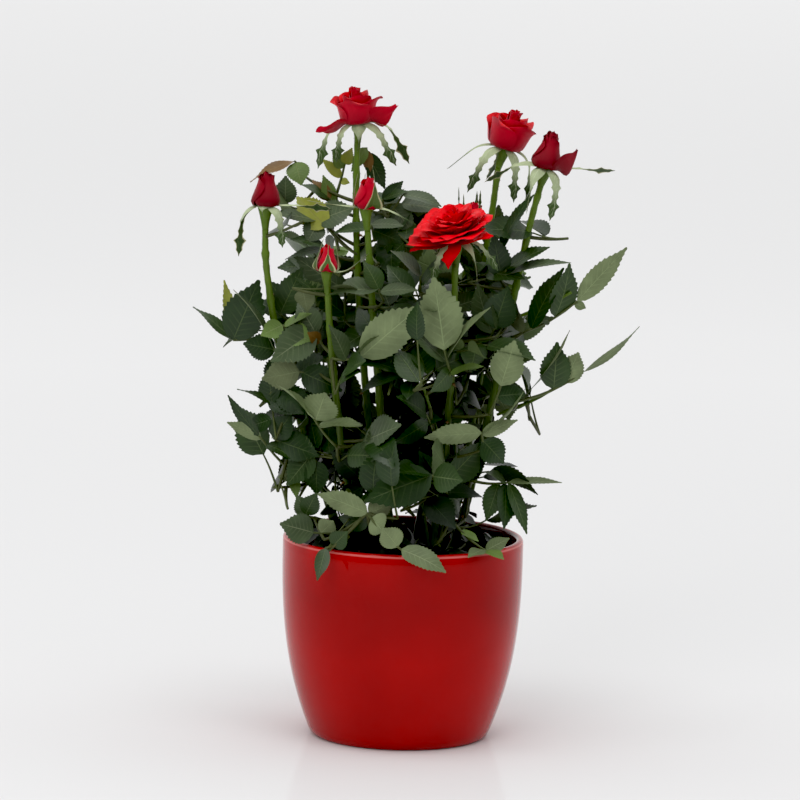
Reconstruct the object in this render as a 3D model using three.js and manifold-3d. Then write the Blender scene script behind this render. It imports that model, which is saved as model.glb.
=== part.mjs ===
// A miniature rose bush growing in its grower's pot inside a glazed cover pot.
// Millimetres, +Z up. The origin is the centre of the cover pot's flat underside.
import * as THREE from "three";
import { mergeVertices } from "three/addons/utils/BufferGeometryUtils.js";
import Module from "manifold-3d";

const wasm = await Module();
wasm.setup();

// Driving dimensions
const potHeight = 114;
const rimRadius = 68; // outside, at the shoulder
const baseRadius = 50; // outside, at the foot
const potWall = 4.5;
const potFloor = 6;
const bellyPower = 2.6; // how quickly the wall swells out above the foot
const gap = 0.3; // between pieces that touch
const growerTop = 95;
const growerFootRadius = 38;
const growerTopRadius = 52;
const growerWall = 1.2;
const growerFlange = 3.5;
const peatDepth = 7; // peat level below the grower pot's rim
const peatTop = growerTop - peatDepth;
const footZ = peatTop + gap; // where the canes are cut flat
const caneSides = 6;
const roundSides = 28;

const gloss = (color) => new THREE.MeshStandardMaterial({ color, roughness: 0.15, metalness: 0 });
const matt = (color) => new THREE.MeshStandardMaterial({ color, roughness: 0.75, metalness: 0 });
const colours = {
  glaze: 0xa80f10,
  plastic: 0x161514,
  peat: 0x1e140e,
  cane: 0x4c5e1c,
  leaf: 0x33421f,
  petal: 0xc01018,
};

const bush = new THREE.Group();
bush.name = "rose_bush";

// ---------- solids ----------

// A geometry as a manifold solid, moved by its own matrix if one is given.
function solidOf(geometry, matrix) {
  const bare = geometry.clone();
  bare.deleteAttribute("normal");
  bare.deleteAttribute("uv");
  if (matrix) bare.applyMatrix4(matrix);
  const merged = mergeVertices(bare, 1e-3);
  return new wasm.Manifold(
    new wasm.Mesh({
      numProp: 3,
      vertProperties: merged.attributes.position.array,
      triVerts: new Uint32Array(merged.index.array),
    }),
  );
}

function geometryOf(solid) {
  const mesh = solid.getMesh();
  const places = new THREE.BufferAttribute(new Float32Array(mesh.vertProperties), 3);
  const geometry = new THREE.BufferGeometry().setAttribute("position", places);
  geometry.setIndex(new THREE.BufferAttribute(new Uint32Array(mesh.triVerts), 1));
  geometry.computeVertexNormals();
  return geometry;
}

function add(name, geometry, material) {
  const mesh = new THREE.Mesh(geometry, material);
  mesh.name = name;
  bush.add(mesh);
  return mesh;
}

// A closed profile of [radius, height] turned round the Z axis.
function turned(profile, sides = roundSides) {
  const points = profile.map(([r, z]) => new THREE.Vector2(r, z));
  return new THREE.LatheGeometry(points, sides).rotateX(Math.PI / 2);
}

const vector = ([x, y, z]) => new THREE.Vector3(x, y, z);
const stepsTo = (n) => Array.from({ length: n + 1 }, (_, i) => i / n);

// A round limb that tapers along a curve. Each ring is level on a cane, and square to the curve on a bough.
function limb(curve, radiusAt, { rings, level = false, swell = 0 }) {
  const rod = new THREE.CylinderGeometry(1, 1, 1, caneSides, rings);
  const places = rod.attributes.position;
  const side = new THREE.Vector3();
  const away = new THREE.Vector3();
  const point = new THREE.Vector3();
  for (let i = 0; i < places.count; i++) {
    const t = places.getY(i) + 0.5;
    const tangent = level ? new THREE.Vector3(0, 0, 1) : curve.getTangent(t);
    side.set(0, 1, 0).cross(tangent).normalize();
    away.copy(tangent).cross(side);
    const r = radiusAt(t) + swell;
    point.copy(curve.getPoint(t)).addScaledVector(tangent, t === 1 ? swell : 0);
    point.addScaledVector(side, places.getX(i) * r);
    point.addScaledVector(away, -places.getZ(i) * r);
    places.setXYZ(i, point.x, point.y, point.z);
  }
  return rod;
}

// ---------- cover pot, grower's pot and peat ----------

const potShoulder = potHeight - 7;
function potRadius(z) {
  const rise = Math.min(z / potShoulder, 1);
  return baseRadius + (rimRadius - baseRadius) * (1 - (1 - rise) ** bellyPower);
}

function coverPot() {
  const heights = stepsTo(7).map((t) => potShoulder * t ** 1.5);
  const outside = heights.map((z) => [potRadius(z), z]);
  const lipHalf = potWall / 2;
  const lip = [0.15, 0.5, 0.85].map((t) => [
    rimRadius - lipHalf + lipHalf * Math.cos(Math.PI * t),
    potHeight - lipHalf + lipHalf * Math.sin(Math.PI * t),
  ]);
  const inside = [0.98, 0.7, 0.45, 0.25, 0.12].map((t) => [potRadius(t * potShoulder) - potWall, t * potShoulder]);
  const floor = [[baseRadius - potWall, potFloor]];
  return turned([[0, 0], ...outside, ...lip, ...inside, ...floor, [0, potFloor]]);
}

function growerPot() {
  const foot = potFloor + gap;
  const r = growerTopRadius;
  return turned([
    [0, foot],
    [growerFootRadius, foot],
    [r, growerTop - 6],
    [r + growerFlange, growerTop - 6],
    [r + growerFlange, growerTop],
    [r - growerWall, growerTop],
    [growerFootRadius - growerWall, foot + growerWall],
    [0, foot + growerWall],
  ]);
}

function peat() {
  const foot = potFloor + growerWall + 2 * gap;
  const rise = (peatTop - potFloor - gap - growerWall) / (growerTop - potFloor - gap - growerWall);
  const topRadius = growerFootRadius + (growerTopRadius - growerFootRadius) * rise;
  const inset = growerWall + 0.5;
  return turned([
    [0, foot],
    [growerFootRadius - inset, foot],
    [topRadius - inset, peatTop],
    [0, peatTop],
  ]);
}

// ---------- canes: foot on the peat, two bends, tip under the flower ----------

const canes = {
  cane_left: { foot: [-26, -8], bends: [[-48, -12, 150], [-86, -22, 236]], tip: [-81, -24, 301] },
  cane_front_left: { foot: [-20, -20], bends: [[-34, -32, 150], [-42, -38, 205]], tip: [-46, -45, 268] },
  cane_top: { foot: [-10, 2], bends: [[-18, -4, 165], [-34, 0, 250]], tip: [-31, 0, 344] },
  cane_centre: { foot: [-4, -15], bends: [[-12, -20, 160], [-20, -25, 240]], tip: [-25, -30, 302] },
  cane_open: { foot: [12, -14], bends: [[24, -24, 150], [26, -33, 215]], tip: [25, -34, 273] },
  cane_right: { foot: [16, 8], bends: [[26, 14, 160], [42, 16, 250]], tip: [49, 15, 330] },
  cane_far_right: { foot: [22, -4], bends: [[50, -12, 170], [58, -4, 270]], tip: [74, -5, 323] },
  cane_back: { foot: [5, 18], bends: [[14, 30, 160], [30, 30, 230]], tip: [35, 24, 286] },
  cane_back_left: { foot: [-18, 14], bends: [[-30, 30, 150], [-48, 44, 200]], tip: [-50, 46, 258] },
  cane_back_right: { foot: [18, 22], bends: [[32, 40, 140], [46, 50, 190]], tip: [44, 58, 250] },
};
const caneFootRadius = 2.5;
const caneFlare = 1.6; // extra radius where a cane meets the peat
const caneTipRadius = 1.8;

function caneCurve({ foot, bends, tip }) {
  return new THREE.CubicBezierCurve3(vector([...foot, footZ]), ...bends.map(vector), vector(tip));
}

const caneRadius = (t) =>
  caneFootRadius + (caneTipRadius - caneFootRadius) * t + caneFlare * Math.exp(-t * 30);
const caneSolid = (cane, swell = 0) =>
  limb(caneCurve(cane), caneRadius, { rings: 7, level: true, swell });

// ---------- boughs: side shoots that leave a cane and end just inside their foliage ----------

const boughs = {
  bough_front: { from: "cane_open", at: 0.42, rise: 4, into: "foliage_front" },
  bough_front_low: { from: "cane_open", at: 0.12, rise: 8, into: "foliage_front_low" },
  bough_rim_front: { from: "cane_open", at: 0.07, rise: 12, into: "foliage_rim_front" },
  bough_rim_left: { from: "cane_front_left", at: 0.09, rise: 14, into: "foliage_rim_left" },
  bough_right_high: { from: "cane_far_right", at: 0.6, rise: -3, into: "foliage_spray_high" },
  bough_right_mid: { from: "cane_far_right", at: 0.38, rise: -5, into: "foliage_spray_mid" },
  bough_back: { from: "cane_back", at: 0.5, rise: 4, into: "foliage_back" },
  bough_back_low: { from: "cane_back", at: 0.2, rise: 6, into: "foliage_back_low" },
};
const boughRadius = 1.2;
const boughTipRadius = 0.8;
const boughClear = 0.6; // from the cane's side
const boughEnd = 0.82; // share of the way from a mass's middle to its near side

function boughCurve({ from, at, rise, into }) {
  const start = caneCurve(canes[from]).getPoint(at);
  const middle = vector(masses[into].at);
  const back = start.clone().sub(middle).normalize();
  const [x, y, z] = masses[into].reach;
  const near = 1 / Math.hypot(back.x / x, back.y / y, back.z / z);
  const tip = middle.clone().addScaledVector(back, near * boughEnd);
  const out = tip.clone().sub(start).setZ(0).normalize();
  start.addScaledVector(out, caneRadius(at) + boughRadius + boughClear);
  const bend = start.clone().lerp(tip, 0.5);
  bend.z += rise;
  return new THREE.QuadraticBezierCurve3(start, bend, tip);
}

const boughSolid = (bough, swell = 0) =>
  limb(boughCurve(bough), (t) => boughRadius + (boughTipRadius - boughRadius) * t, { rings: 3, swell });

// ---------- flowers: a turned form with lobes, leaning as its stem does ----------

const bowl = [[0, 0], [5, 0.2], [11, 4], [13, 11], [14, 18], [10, 22.5], [0, 21.5]];
const reflexed = [[0, 0], [6, 1], [15, 0.4], [21, 3], [18, 8], [14.4, 11], [14.4, 16], [9, 20.5], [0, 19.5]];
const open = [[0, 0], [5, 0], [20, 5], [24, 11], [21, 15], [11, 18.5], [0, 17]];
const closed = [[0, 0], [5.5, 0.2], [8, 4], [7.4, 9], [4.4, 14.5], [1.6, 17.5], [0, 17.5]];
const flowers = {
  bloom_top: { foot: [-31, 0, 345], shape: reflexed, size: 1, lobes: 5, turn: 0.9, lean: [0, 0] },
  bloom_right: { foot: [49.4, 15, 331], shape: bowl, size: 1.04, lobes: 5, turn: 0.2, lean: [0.05, 0.16] },
  bloom_far_right: { foot: [74.6, -5, 324], shape: bowl, size: 0.84, lobes: 3, turn: 0, lean: [0, 0.15] },
  bloom_open: { foot: [25, -34.6, 274], shape: open, size: 1, lobes: 7, turn: 0.4, lean: [0.42, -0.28] },
  bud_left: { foot: [-81, -24, 302], shape: closed, size: 1, lobes: 3, turn: 0.5, lean: [0, -0.02] },
  bud_front: { foot: [-46, -45, 269], shape: closed, size: 0.92, lobes: 3, turn: 0.1, lean: [0, 0.06] },
  bud_centre: { foot: [-25, -30, 303], shape: closed, size: 0.95, lobes: 3, turn: 1.2, lean: [0.1, -0.06] },
  bud_back: { foot: [35, 24, 287], shape: closed, size: 0.85, lobes: 3, turn: 0.7, lean: [0, 0.1] },
};
const lobeDepth = 0.1;
const flowerSides = 11;

function flowerSolid({ foot, shape, size, lobes, turn, lean }, swell = 0) {
  const form = turned(shape, flowerSides);
  const places = form.attributes.position;
  for (let i = 0; i < places.count; i++) {
    const [x, y] = [places.getX(i), places.getY(i)];
    const wave = 1 + lobeDepth * Math.cos(lobes * Math.atan2(y, x) + turn);
    const grown = size * wave * (1 + swell / 12);
    places.setXYZ(i, x * grown, y * grown, places.getZ(i) * size * (1 + swell / 12));
  }
  form.rotateX(lean[0]).rotateY(lean[1]);
  return form.translate(foot[0], foot[1], foot[2] + gap - swell);
}

// ---------- foliage: uneven masses, each with the tips that its longest leaves reach ----------

const masses = {
  foliage_top_left: { at: [-52, -2, 294], reach: [29, 26, 24], tips: [[-1, 0, 0.1, 8], [0.4, -0.3, 1, 12]] },
  foliage_top_centre: { at: [-15, 16, 292], reach: [26, 27, 25], tips: [[1, -0.3, -0.2, 12], [-0.4, -0.2, 1, 14]] },
  foliage_top_right: { at: [50, 10, 279], reach: [27, 28, 24], tips: [[-0.5, -0.2, 1, 8]] },
  foliage_left: { at: [-71, -15, 232], reach: [27, 27, 25], tips: [[-1, 0.1, 0.15, 18], [0.3, 0, 1, 8]] },
  foliage_left_low: { at: [-54, -14, 166], reach: [25, 28, 31], tips: [[-1, 0, 0.6, 22]] },
  foliage_centre: { at: [0, -6, 240], reach: [46, 34, 33], tips: [] },
  foliage_front: { at: [2, -57, 226], reach: [40, 23, 32], tips: [[0.3, -0.4, 0.9, 6]] },
  foliage_front_low: { at: [4, -44, 166], reach: [40, 32, 28], tips: [[-0.3, -1, 0, 6]] },
  foliage_right: { at: [58, -8, 219], reach: [25, 32, 33], tips: [[0.5, -1, 0.4, 6]] },
  foliage_right_low: { at: [50, -14, 151], reach: [19, 24, 22], tips: [[1, 0, -0.1, 15], [0.6, 0, -0.9, 8]] },
  foliage_skirt: { at: [-34, -38, 136], reach: [24, 14, 11], tips: [[-1, -0.2, 0.1, 6]] },
  foliage_rim_front: { at: [22, -62, 121], reach: [24, 14, 8], tips: [[0.2, -1, -1, 7]] },
  foliage_rim_left: { at: [-50, -50, 121], reach: [17, 12, 9], tips: [[0.2, -0.9, -0.9, 9]] },
  foliage_spray_high: { at: [100, -20, 261], reach: [17, 12, 8], tips: [[0.8, 0, 0.6, 14]], pitch: -0.5 },
  foliage_spray_mid: { at: [97, -18, 210], reach: [20, 12, 8], tips: [[0.95, 0, 0.3, 22]], pitch: -0.4 },
  foliage_back_left: { at: [-50, 46, 238], reach: [31, 32, 34], tips: [[-0.6, 0.8, 0.2, 10]] },
  foliage_back_left_low: { at: [-42, 46, 170], reach: [29, 31, 32], tips: [[-0.7, 0.7, -0.2, 10]] },
  foliage_back: { at: [-2, 62, 250], reach: [28, 28, 36], tips: [[0.1, 1, 0.3, 8]] },
  foliage_back_low: { at: [2, 46, 174], reach: [28, 38, 34], tips: [[-0.1, 1, -0.3, 10]] },
  foliage_back_right: { at: [50, 46, 234], reach: [29, 31, 33], tips: [[0.6, 0.8, 0.2, 12]] },
  foliage_back_right_low: { at: [40, 46, 170], reach: [27, 30, 30], tips: [[0.5, 0.8, -0.2, 10]] },
};
const massDetail = 2;
const lumpDepth = 0.11;
const tipWidth = 0.16; // spread of a tip, as a share of the half sphere
const limbGap = 1.8; // between a mass and the limbs or flowers it is cut round
const massGap = 2.8;
const massMerge = 0.8; // faces this close to flat run together

function massSolid({ at, reach, tips, pitch = 0 }, index, swell = 0) {
  const ball = new THREE.IcosahedronGeometry(1, massDetail);
  const places = ball.attributes.position;
  const out = new THREE.Vector3();
  const phase = index * 1.7;
  for (let i = 0; i < places.count; i++) {
    out.fromBufferAttribute(places, i).normalize();
    const lumps =
      Math.sin(4.1 * out.x + phase) * Math.sin(3.7 * out.y - phase) +
      Math.sin(5.3 * out.z + 2 * phase) * Math.cos(4.3 * out.x - phase);
    const scale = 1 + lumpDepth * lumps;
    let stretch = 0;
    for (const [x, y, z, far] of tips) {
      const near = 1 - out.dot(new THREE.Vector3(x, y, z).normalize());
      stretch += far * Math.exp(-near / tipWidth);
    }
    const grown = reach.map((r) => r * scale + stretch + swell);
    places.setXYZ(i, out.x * grown[0], out.y * grown[1], out.z * grown[2]);
  }
  return ball.rotateY(pitch).translate(...at);
}

// ---------- assembly ----------

add("pot", coverPot(), gloss(colours.glaze));
add("grower_pot", growerPot(), matt(colours.plastic));
add("peat", peat(), matt(colours.peat));

const cutters = [];
const potEnvelope = [[0, 0], [rimRadius + gap, 0], [rimRadius + gap, potHeight + gap], [0, potHeight + gap]];
cutters.push(solidOf(turned(potEnvelope)));

for (const [name, cane] of Object.entries(canes)) {
  add(name, caneSolid(cane), matt(colours.cane));
  cutters.push(solidOf(caneSolid(cane, limbGap)));
}
for (const [name, flower] of Object.entries(flowers)) {
  add(name, flowerSolid(flower), matt(colours.petal));
  cutters.push(solidOf(flowerSolid(flower, limbGap)));
}
for (const [name, bough] of Object.entries(boughs)) {
  add(name, boughSolid(bough), matt(colours.cane));
  cutters.push(solidOf(boughSolid(bough, limbGap)));
}
Object.entries(masses).forEach(([name, mass], index) => {
  const whole = cutters.reduce((left, cutter) => left.subtract(cutter), solidOf(massSolid(mass, index)));
  const [largest] = whole.simplify(massMerge).decompose().sort((a, b) => b.volume() - a.volume());
  add(name, geometryOf(largest), matt(colours.leaf));
  cutters.push(solidOf(massSolid(mass, index, massGap)));
});

export default bush;
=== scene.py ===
import math
import random

import bmesh
import bpy
import numpy as np
from mathutils import Matrix, Vector
from mathutils.bvhtree import BVHTree


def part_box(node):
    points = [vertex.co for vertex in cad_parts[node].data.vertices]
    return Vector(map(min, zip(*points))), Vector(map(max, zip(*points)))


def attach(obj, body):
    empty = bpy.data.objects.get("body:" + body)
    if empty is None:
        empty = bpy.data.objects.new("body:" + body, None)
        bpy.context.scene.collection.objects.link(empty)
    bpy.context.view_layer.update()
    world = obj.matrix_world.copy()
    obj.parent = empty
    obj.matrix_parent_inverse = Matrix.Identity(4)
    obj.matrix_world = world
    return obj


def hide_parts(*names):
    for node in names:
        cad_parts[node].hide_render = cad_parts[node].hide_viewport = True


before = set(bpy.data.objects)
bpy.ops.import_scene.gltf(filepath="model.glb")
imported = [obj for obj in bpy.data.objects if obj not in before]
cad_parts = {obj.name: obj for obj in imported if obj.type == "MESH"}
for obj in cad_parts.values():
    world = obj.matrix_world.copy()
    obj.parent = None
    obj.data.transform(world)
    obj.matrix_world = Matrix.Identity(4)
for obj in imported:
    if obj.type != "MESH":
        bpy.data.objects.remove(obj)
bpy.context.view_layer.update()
mm = 0.001
dice = random.Random(11)


def unit(v):
    v = np.asarray(v, float)
    return v / (np.linalg.norm(v) + 1e-12)


def smooth(low, high, x):
    t = np.clip((np.asarray(x, float) - low) / (high - low), 0, 1)
    return t * t * (3 - 2 * t)


def about(centre, spread):
    return centre + dice.uniform(-spread, spread)


def between(a, b, t):
    return np.asarray(a, float) * (1 - t) + np.asarray(b, float) * t


def squareTo(direction, wanted):
    # the unit vector nearest to wanted that is square to direction
    wanted = np.asarray(wanted, float)
    rest = wanted - direction * float(np.dot(wanted, direction))
    if np.linalg.norm(rest) < 1e-6:
        rest = np.cross(direction, [0.3, 1, 0.2])
    return unit(rest)


def turnAbout(v, axis, angle):
    v, axis = np.asarray(v, float), unit(axis)
    along = axis * np.dot(axis, v)
    return v * math.cos(angle) + np.cross(axis, v) * math.sin(angle) + along * (1 - math.cos(angle))


def boxOf(node):
    low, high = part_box(node)
    return np.array(low), np.array(high)


stage = {
    "eye": (-0.0037, -3.0, 0.636),  # metres
    "target": (-0.0037, 0.0, 0.191),
    "lens": 242.4,
    "roll": 1.4,  # degrees
    "tent": 1.0,  # the white tent's brightness behind, overhead and at the sides
    "tentFront": 0.17,  # and towards the front
    "frontEdge": 0.45,  # where the dim front begins and how softly
    "frontSlope": 1.8,
    "roofEdge": 0.35,
    "roofSlope": 2.5,
    "black": 0.008,  # shadows under this go quite black
    "lampsAim": (0, 0, 0.2),
    "topPlace": (-0.1, -0.35, 1.7),
    "topSize": (1.0, 0.45),
    "topPower": 6.0,
    "frontPlace": (-1.0, -2.6, 1.5),
    "frontSize": (1.4, 1.4),
    "frontPower": 17.0,
    "floorReach": 12,
    # painted shade: the floor near the pot is darker, fading out further away
    "floorShadedNear": (0.775, 0.775, 0.78),
    "floorFar": (0.86, 0.86, 0.865),
}


def makeStage():
    scene = bpy.context.scene
    data = bpy.data.cameras.new("camera")
    data.lens = stage["lens"]
    data.sensor_width = 36
    data.clip_end = 60
    camera = bpy.data.objects.new("camera", data)
    eye, target = Vector(stage["eye"]), Vector(stage["target"])
    look = (target - eye).to_track_quat("-Z", "Y").to_matrix().to_4x4()
    roll = Matrix.Rotation(math.radians(stage["roll"]), 4, "Z")
    camera.matrix_world = Matrix.Translation(eye) @ look @ roll
    scene.collection.objects.link(camera)
    scene.camera = camera

    scene.view_settings.view_transform = "Standard"
    scene.view_settings.use_curve_mapping = True
    scene.view_settings.curve_mapping.black_level = (stage["black"],) * 3
    world = bpy.data.worlds.new("studio")
    scene.world = world
    world.use_nodes = True
    tree = world.node_tree
    split = node(tree, "ShaderNodeSeparateXYZ")
    tree.links.new(node(tree, "ShaderNodeTexCoord").outputs["Generated"], split.inputs[0])
    behind = maths(tree, "ADD", split.outputs[1], stage["frontEdge"])
    behind = maths(tree, "MULTIPLY", behind, stage["frontSlope"], clamp=True)
    above = ramp(tree, split.outputs[2], stage["roofEdge"], stage["roofSlope"])
    lit = maths(tree, "MULTIPLY", maths(tree, "MAXIMUM", behind, above), stage["tent"] - stage["tentFront"])
    strength = maths(tree, "ADD", lit, stage["tentFront"])
    tree.nodes["Background"].inputs["Color"].default_value = (1, 1, 1, 1)
    tree.links.new(strength, tree.nodes["Background"].inputs["Strength"])

    for side, mirrored in (("top", True), ("front", False)):
        name, place = "softbox_" + side, Vector(stage[side + "Place"])
        light = bpy.data.lights.new(name, "AREA")
        light.shape = "RECTANGLE"
        light.size, light.size_y = stage[side + "Size"]
        light.energy = stage[side + "Power"]
        lamp = bpy.data.objects.new(name, light)
        aim = (Vector(stage["lampsAim"]) - place).to_track_quat("-Z", "Y").to_matrix().to_4x4()
        lamp.matrix_world = Matrix.Translation(place) @ aim
        lamp.visible_glossy = mirrored  # whether the glaze and the leaves show it
        scene.collection.objects.link(lamp)


def makeFloor():
    # pale paper, a little darker round the pot by painted shade
    shape = bmesh.new()
    bmesh.ops.create_grid(shape, x_segments=2, y_segments=2, size=stage["floorReach"])
    bmesh.ops.translate(shape, vec=(0, stage["floorReach"] / 4, 0), verts=shape.verts)
    mesh = bpy.data.meshes.new("floor")
    shape.to_mesh(mesh)
    shape.free()
    floor = bpy.data.objects.new("floor", mesh)
    bpy.context.scene.collection.objects.link(floor)
    material, tree, shader = newMaterial("pale_floor", 0.1, 0.006)
    reach = node(tree, "ShaderNodeVectorMath", operation="LENGTH")
    tree.links.new(objectPlace(tree), reach.inputs[0])
    away = ramp(tree, reach.outputs["Value"], 0.35, 0.9)
    # the floor's colour darkens towards the pot: painted shade
    tree.links.new(blend(tree, away, stage["floorShadedNear"], stage["floorFar"]), shader.inputs["Base Color"])
    floor.data.materials.append(material)


def newMaterial(name, roughness, specular=0.5):
    material = bpy.data.materials.new(name)
    material.use_nodes = True
    tree = material.node_tree
    shader = tree.nodes["Principled BSDF"]
    shader.inputs["Roughness"].default_value = roughness
    shader.inputs["Specular IOR Level"].default_value = specular
    return material, tree, shader


def node(tree, kind, **values):
    made = tree.nodes.new(kind)
    for key, value in values.items():
        if key in made.inputs:
            made.inputs[key].default_value = value
        else:
            setattr(made, key, value)
    return made


def maths(tree, operation, a, b=0.0, clamp=False):
    made = tree.nodes.new("ShaderNodeMath")
    made.operation = operation
    made.use_clamp = clamp
    for socket, value in zip(made.inputs, (a, b)):
        if hasattr(value, "links"):
            tree.links.new(value, socket)
        else:
            socket.default_value = value
    return made.outputs[0]


def ramp(tree, value, start, slope):
    # 0 up to start, then rising to 1
    return maths(tree, "MULTIPLY", maths(tree, "SUBTRACT", value, start), slope, clamp=True)


def blend(tree, amount, a, b):
    made = tree.nodes.new("ShaderNodeMix")
    made.data_type = "RGBA"
    for socket, value in ((made.inputs[0], amount), (made.inputs[6], a), (made.inputs[7], b)):
        if hasattr(value, "links"):
            tree.links.new(value, socket)
        else:
            socket.default_value = (*value, 1) if isinstance(value, tuple) else value
    return made.outputs[2]


def noiseOn(tree, vector, scale, detail=3.0, low=0.35, high=0.65):
    made = node(tree, "ShaderNodeTexNoise", Scale=scale, Detail=detail)
    tree.links.new(vector, made.inputs["Vector"])
    ranged = node(tree, "ShaderNodeMapRange")
    ranged.inputs["From Min"].default_value = low
    ranged.inputs["From Max"].default_value = high
    tree.links.new(made.outputs["Fac"], ranged.inputs["Value"])
    return ranged.outputs["Result"]


def objectPlace(tree):
    return node(tree, "ShaderNodeTexCoord").outputs["Object"]


def bump(tree, shader, height, strength, distance=0.0004):
    made = node(tree, "ShaderNodeBump", Strength=strength, Distance=distance)
    tree.links.new(height, made.inputs["Height"])
    tree.links.new(made.outputs["Normal"], shader.inputs["Normal"])


veinLook = {
    "pairs": 9.0,  # side veins along a blade
    "slant": 3.4,
    "sideFine": 6.0,  # the higher, the finer the line
    "midribFine": 44.0,
    "sideShare": 0.4,  # how much of the midrib's strength the side veins have
    "mottle": 0.72,
}


def bladeMaterial(name, colour, vein, roughness, specular, veinDepth=0.3, margin=None, tip=None):
    # midrib, forward-slanting side veins and soft mottling, laid out on the blade's own map
    material, tree, shader = newMaterial(name, roughness, specular)
    place = node(tree, "ShaderNodeUVMap", uv_map="blade").outputs["UV"]
    split = node(tree, "ShaderNodeSeparateXYZ")
    tree.links.new(place, split.inputs[0])
    across = maths(tree, "ABSOLUTE", maths(tree, "SUBTRACT", split.outputs[0], 0.5))
    along = maths(tree, "MULTIPLY", split.outputs[1], veinLook["pairs"])
    slant = maths(tree, "SUBTRACT", along, maths(tree, "MULTIPLY", across, veinLook["slant"]))
    ridge = maths(tree, "ABSOLUTE", maths(tree, "SUBTRACT", maths(tree, "FRACT", slant), 0.5))
    sideVein = maths(tree, "SUBTRACT", 1.0, maths(tree, "MULTIPLY", ridge, veinLook["sideFine"]), clamp=True)
    midrib = maths(tree, "SUBTRACT", 1.0, maths(tree, "MULTIPLY", across, veinLook["midribFine"]), clamp=True)
    inner = maths(tree, "SUBTRACT", 1.0, maths(tree, "MULTIPLY", across, 2.1), clamp=True)
    sideVein = maths(tree, "MULTIPLY", maths(tree, "MULTIPLY", sideVein, inner), veinLook["sideShare"])
    lines = maths(tree, "MAXIMUM", sideVein, midrib)
    mottle = noiseOn(tree, objectPlace(tree), 90.0)
    base = blend(tree, mottle, tuple(c * veinLook["mottle"] for c in colour), colour)
    if tip:
        base = blend(tree, ramp(tree, split.outputs[1], 0.42, 3.5), base, tip)
    if margin:
        base = blend(tree, ramp(tree, across, 0.36, 12.0), base, margin)
    tree.links.new(blend(tree, lines, base, vein), shader.inputs["Base Color"])
    fine = noiseOn(tree, objectPlace(tree), 900.0)
    height = maths(tree, "SUBTRACT", maths(tree, "MULTIPLY", fine, 0.25), lines)
    bump(tree, shader, height, veinDepth)
    return material


leafTones = {
    # upper face, its veins, under face, the upper face's roughness
    # shade: a darker copy of the leaf colours, painted shade for the leaves deep and low in the crown
    "shade": ((0.007, 0.019, 0.004), (0.02, 0.04, 0.01), (0.03, 0.05, 0.016), 0.47),
    "dark": ((0.015, 0.042, 0.006), (0.07, 0.11, 0.03), (0.10, 0.145, 0.055), 0.37),
    "mid": ((0.031, 0.066, 0.014), (0.12, 0.17, 0.06), (0.12, 0.165, 0.065), 0.39),
    # this tone is partly the leaves' own grey-green and partly a painted sheen of the bright sky on
    # upward-facing leaves
    "grey": ((0.07, 0.105, 0.045), (0.19, 0.23, 0.12), (0.18, 0.215, 0.11), 0.43),
    "pale": ((0.15, 0.2, 0.085), (0.28, 0.33, 0.17), (0.225, 0.28, 0.14), 0.52),
    "fresh": ((0.14, 0.225, 0.05), (0.2, 0.25, 0.09), (0.2, 0.25, 0.1), 0.42),
    "young": ((0.33, 0.36, 0.06), (0.27, 0.27, 0.08), (0.27, 0.27, 0.12), 0.39),
    "bronze": ((0.19, 0.10, 0.022), (0.2, 0.14, 0.04), (0.17, 0.14, 0.05), 0.39),
}


def leafMaterials():
    made = {}
    for tone, (upper, vein, under, roughness) in leafTones.items():
        underVein = tuple(c * 1.32 for c in under)
        made[tone] = [
            bladeMaterial("leaf_" + tone, upper, vein, roughness, 0.42),
            bladeMaterial("leaf_under_" + tone, under, underVein, 0.65, 0.2, 0.5),
        ]
    return made


def petalMaterial(name, colour, foot, margin, roughness, sheen):
    # the petal's foot is darker by painted shade deep in the flower, its margin dark in places, with fine
    # lengthwise veins
    material, tree, shader = newMaterial(name, roughness, 0.16)
    place = node(tree, "ShaderNodeUVMap", uv_map="blade").outputs["UV"]
    split = node(tree, "ShaderNodeSeparateXYZ")
    tree.links.new(place, split.inputs[0])
    # painted shade: the colour darkens from mid-petal down to the foot
    rise = maths(tree, "MULTIPLY", split.outputs[1], 1.5, clamp=True)
    base = blend(tree, rise, foot, colour)
    patch = noiseOn(tree, objectPlace(tree), 120.0)
    base = blend(tree, maths(tree, "MULTIPLY", patch, 0.45), base, tuple(c * 0.62 for c in colour))
    edge = ramp(tree, split.outputs[1], 0.89, 11.0)
    edge = maths(tree, "MULTIPLY", edge, noiseOn(tree, objectPlace(tree), 260.0, low=0.42, high=0.6))
    tree.links.new(blend(tree, edge, base, margin), shader.inputs["Base Color"])
    shader.inputs["Sheen Weight"].default_value = sheen
    shader.inputs["Sheen Roughness"].default_value = 0.45
    shader.inputs["Sheen Tint"].default_value = (1.0, 0.35, 0.42, 1)
    stripes = node(tree, "ShaderNodeTexWave", Scale=14.0, Distortion=2.5)
    tree.links.new(place, stripes.inputs["Vector"])
    bump(tree, shader, stripes.outputs["Fac"], 0.16, 0.0002)
    return material


petalColours = {
    # inner face, outer face, sheen, how dark the margin is
    "plain": ((0.72, 0.002, 0.010), (0.62, 0.004, 0.024), 0.42, 0.7),
    "bright": ((0.93, 0.002, 0.010), (0.74, 0.003, 0.014), 0.16, 0.7),
    "dark": ((0.32, 0.003, 0.008), (0.29, 0.004, 0.014), 0.1, 0.3),
}


def petalMaterials():
    made = {}
    for kind, (inside, outside, sheen, margin) in petalColours.items():
        made[kind] = []
        for side, colour, part in (("inside", inside, 0.3), ("outside", outside, 1.0)):
            # the foot's colour is a painted shade, about a third of the petal's
            foot, edge = tuple(c * 0.36 for c in colour), tuple(c * margin for c in colour)
            made[kind].append(petalMaterial(kind + "_petal_" + side, colour, foot, edge, 0.5, sheen * part))
    return made


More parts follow.
